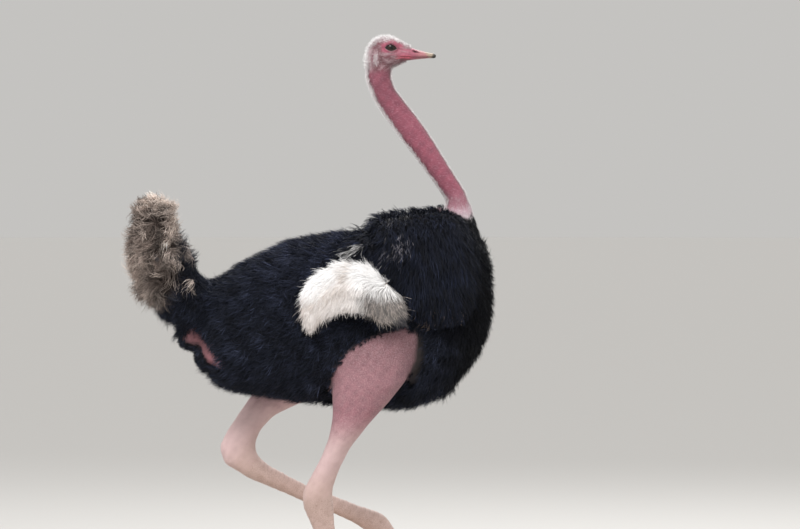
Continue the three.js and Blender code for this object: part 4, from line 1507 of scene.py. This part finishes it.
def fuzz(rng, ground, unwrap, finish, share):
    """White down on the neck, bristles on the head, and the collar where the neck starts."""
    neck = ground.sown(rng, 3.4 * MM, share["neck"] + share["cheeks"])
    tip = mixed(PALE_PINK, WHITE, 0.30 + 0.5 * ramp(neck["at"][:, 2], 1.82, 1.85))
    down = tufts(rng, neck, (0.1, 0, -1), 4.5 * MM, 1.6 * MM, PINK, tip, unwrap, blades=3,
                 joints=2, width=0.26 * MM, spread=0.5, curl=0.15, roll=1.0, uneven=0.1,
                 scatter=1.4 * MM)
    rim = ground.sown(rng, 2.5 * MM, share["rim"])
    behind = ramp(rim["out"][:, 0], 0.0, -0.6)
    throat = spot(rim["at"], 0.13, 1.845, 0.035)
    high = ramp(rim["at"][:, 2], 1.60, 1.76)
    size = (7.5 + (0.5 + 3.0 * high) * np.maximum(behind, throat)) * MM
    edges = tufts(rng, rim, (0.2, 0, -1), size, size * 0.8, SCALP, WHITE * 1.05, unwrap, joints=2,
                  width=0.42 * MM, spread=0.5, curl=0.15, roll=1.0, uneven=0.1, scatter=1.6 * MM)
    scalp = ground.sown(rng, 3.2 * MM, share["scalp"] * (0.4 + 0.6 * share["outline"]))
    forward = head_space(scalp["at"])[:, 0]
    lie = mixed((-1, 0, 0.1), (-0.3, 0, -1), ramp(forward, 0.01, -0.03))
    size = (4.5 + 3 * ramp(forward, 0.07, 0.0)) * MM
    bristles = tufts(rng, scalp, swirled(lie, scalp["at"], 0.012, 95, 0.6), size, size * 0.8,
                     SCALP, WHITE * 1.05, unwrap, joints=2, width=0.36 * MM, spread=0.5,
                     curl=0.12, roll=1.0, uneven=0.15, scatter=1.5 * MM, close=0.4)
    crest = ground.sown(rng, 4.6 * MM, share["scalp"] * share["outline"])
    size = (7 + 5 * ramp(head_space(crest["at"])[:, 0], 0.09, 0.02)) * MM
    spikes = tufts(rng, crest, swirled((-0.6, 0, 0.2), crest["at"], 0.01, 97, 0.8), size * 0.7,
                   size, WHITE, WHITE * 1.05, unwrap, blades=4, width=0.44 * MM, spread=0.45,
                   curl=0.08, roll=1.0, uneven=0.30, scatter=1.4 * MM, close=0.3)
    ears = ground.sown(rng, 2.2 * MM, share["ear"])
    tuft = tufts(rng, ears, (-0.25, 0, -1), 7 * MM, 2.2 * MM, SCALP, WHITE * 0.8, unwrap,
                 blades=4, joints=2, width=0.4 * MM, spread=0.3, uneven=0.15)
    foot = ground.sown(rng, 3.0 * MM, 0.8 * share["foot"])
    veil = tufts(rng, foot, (0.25, 0, -1), 6 * MM, 1.8 * MM, FOOT_PALE, WHITE * 0.85, unwrap,
                 blades=4, joints=2, width=0.26 * MM, spread=0.5, curl=0.12, roll=1.0,
                 uneven=0.12, scatter=1.8 * MM)
    collar = ground.sown(rng, 5.5 * MM, 0.8 * share["collar"])
    fringe = tufts(rng, collar, (0.3, 0, -1), 15 * MM, 6 * MM, FOOT_PALE, WHITE * 0.9, unwrap,
                   blades=4, width=0.6 * MM, spread=0.4, curl=0.12, uneven=0.15)
    coat_piece("neck_down", [down, edges, bristles, spikes, tuft, veil, fringe], finish,
               "white_feather")


LASHES = 34


def lashes(rng, unwrap, finish):
    """Dark lashes along each upper lid."""
    turn = np.array(HEAD_PLACE)[:3, :3].T
    forward = np.linspace(-14.5, 15.5, LASHES) * MM
    upward = upper_lid(forward) - LID_TILT * forward - LID_DROP
    parts = []
    for side in (RIGHT, LEFT):
        flat = np.stack([forward, np.zeros(LASHES), upward], 1) / EYE_RADIUS
        flat[:, 1] = side * np.sqrt(np.maximum(1 - (flat ** 2).sum(1), 0.05))
        start = EYE_AT * (1, side, 1) + flat * (EYE_RADIUS + 1.6 * MM)
        roots = {"at": world_space(start), "out": flat @ turn}
        sweep = np.stack([forward * 12, np.full(LASHES, side * 0.9), np.full(LASHES, 0.35)], 1)
        parts.append(tufts(rng, roots, unit(sweep) @ turn, 7.5 * MM, 2.4 * MM, LID_EDGE * 0.6,
                           LID_EDGE * 0.5, unwrap, blades=2, width=0.75 * MM, spread=0.2,
                           curl=0.03, droop=-0.15, roll=0.8))
    coat_piece("lashes", parts, finish, "black_feather")


def coat_shares(mesh, label):
    """How likely each kind of feather, down and bristle is at each vertex of the skin."""
    points = points_of(mesh)
    x, y, z = points.T
    head = head_space(points)
    forward, up, across = head[:, 0] / MM, head[:, 2] / MM, np.abs(head[:, 1]) / MM
    on_foot = neck_foot(points)
    collar = above_collar(points)
    facing = unit(softened(normals_of(mesh), edges_of(mesh), 10, keep=0.4))
    sideways = np.abs(facing[:, 1])
    on_neck = (x > 0) & (up < 52) & ((z > 1.45) | (on_foot > 0.5))
    under_chin = (up > 0) & (up < 62) & (forward > 20) & (forward < 84) & (facing[:, 2] < 0.2)
    skull = (up >= 30) & (z > 1.75)
    eye_near = np.hypot((forward - 42) / 1.3, up - 94)
    crown = up + 0.35 * np.maximum(forward - 40, 0) + 0.9 * np.maximum(4 - forward, 0)
    scalp = np.maximum(ramp(crown, 108, 120), ramp(forward, -22, -30)) * ramp(forward, 104, 96)
    ear = skull * bell(np.hypot((forward + 9.5) / 8, (up - 64) / 23), 0.9) * (across > 12)
    bare = np.maximum(np.maximum(bare_flank(points), bare_rear(points)), bare_thigh(points))
    outline = np.where(facing[:, 0] < 0, ramp(sideways, 0.46, 0.18), ramp(sideways, 0.42, 0.15))
    return {
        "trunk": share_of(["trunk", "tail_base", "vent"], label) * (on_foot < 0.5)
        * ((collar < 0) | (x < 0.30)),
        "bare": ramp(bare, 0.6, 0.4),
        "neck": on_neck * ramp(up, 52, 40) * (0.07 + 0.45 * ramp(sideways, 0.88, 0.45)),
        "cheeks": skull * 0.6 * (forward < 66) * (eye_near > 26) * (up > 20),
        "rim": (on_neck | under_chin) * outline,
        "outline": ramp(sideways, 0.75, 0.35),
        "scalp": skull * scalp,
        "ear": np.where(ear > 0.25, ear, 0),
        "foot": on_neck * ramp(above_foot(points), 0.085, 0.005),
        "collar": on_neck * ramp(x, 0.325, 0.355) * bell(collar - 0.008, 0.012)
        * ramp(np.abs(y), 0.075, 0.06),
    }


# ---- the model ----

camera()
studio()
floor()

skin, label, depth = build_skin()
skin_tint(skin, label)
finished("skin", skin, skin_finish(), "neck_skin", *FLESH)

bill_horn = horn_finish("bill_horn", 0.50, 0.0004)
claw_horn = horn_finish("claw_horn", 0.42, 0.0008)
for node in BILL:
    bill_piece(node, bill_horn)
for node in CLAWS:
    claw_piece(node, claw_horn)
for side in (RIGHT, LEFT):
    eyeball_piece(side)

stand = NODES["stand_base"].data
stand.materials.clear()
stand.materials.append(stand_finish().material)

rng = np.random.default_rng(7)
ground = Ground(skin, depth=depth)
share = coat_shares(skin, label)
body_map = Unwrap(FLESH + WINGS, 22 * MM)
head_map = Unwrap(["head"] + NECK, 9 * MM)
black = feather_finish("black_feather", 0.06, (0.7, 0.8, 1.0), 0.6, 0.5)
white = feather_finish("white_feather", 0.25, (1, 1, 1), 0.75, 0.15)
brown = feather_finish("brown_feather", 0.2, (1, 0.93, 0.86), 0.75, 0.3)
black_coat(rng, ground, body_map, black, share)
rear_hairs(rng, ground, body_map, black)
for side in (RIGHT, LEFT):
    wing_coat(rng, ground, body_map, black, side, share_of(["wing_" + SIDE_NAME[side]], label))
    white_coat(rng, white, side)
tail_coat(rng, ground, body_map, brown)
fuzz(rng, ground, head_map, white, share)
lashes(rng, head_map, black)

bpy.context.scene.view_settings.view_transform = "Standard"
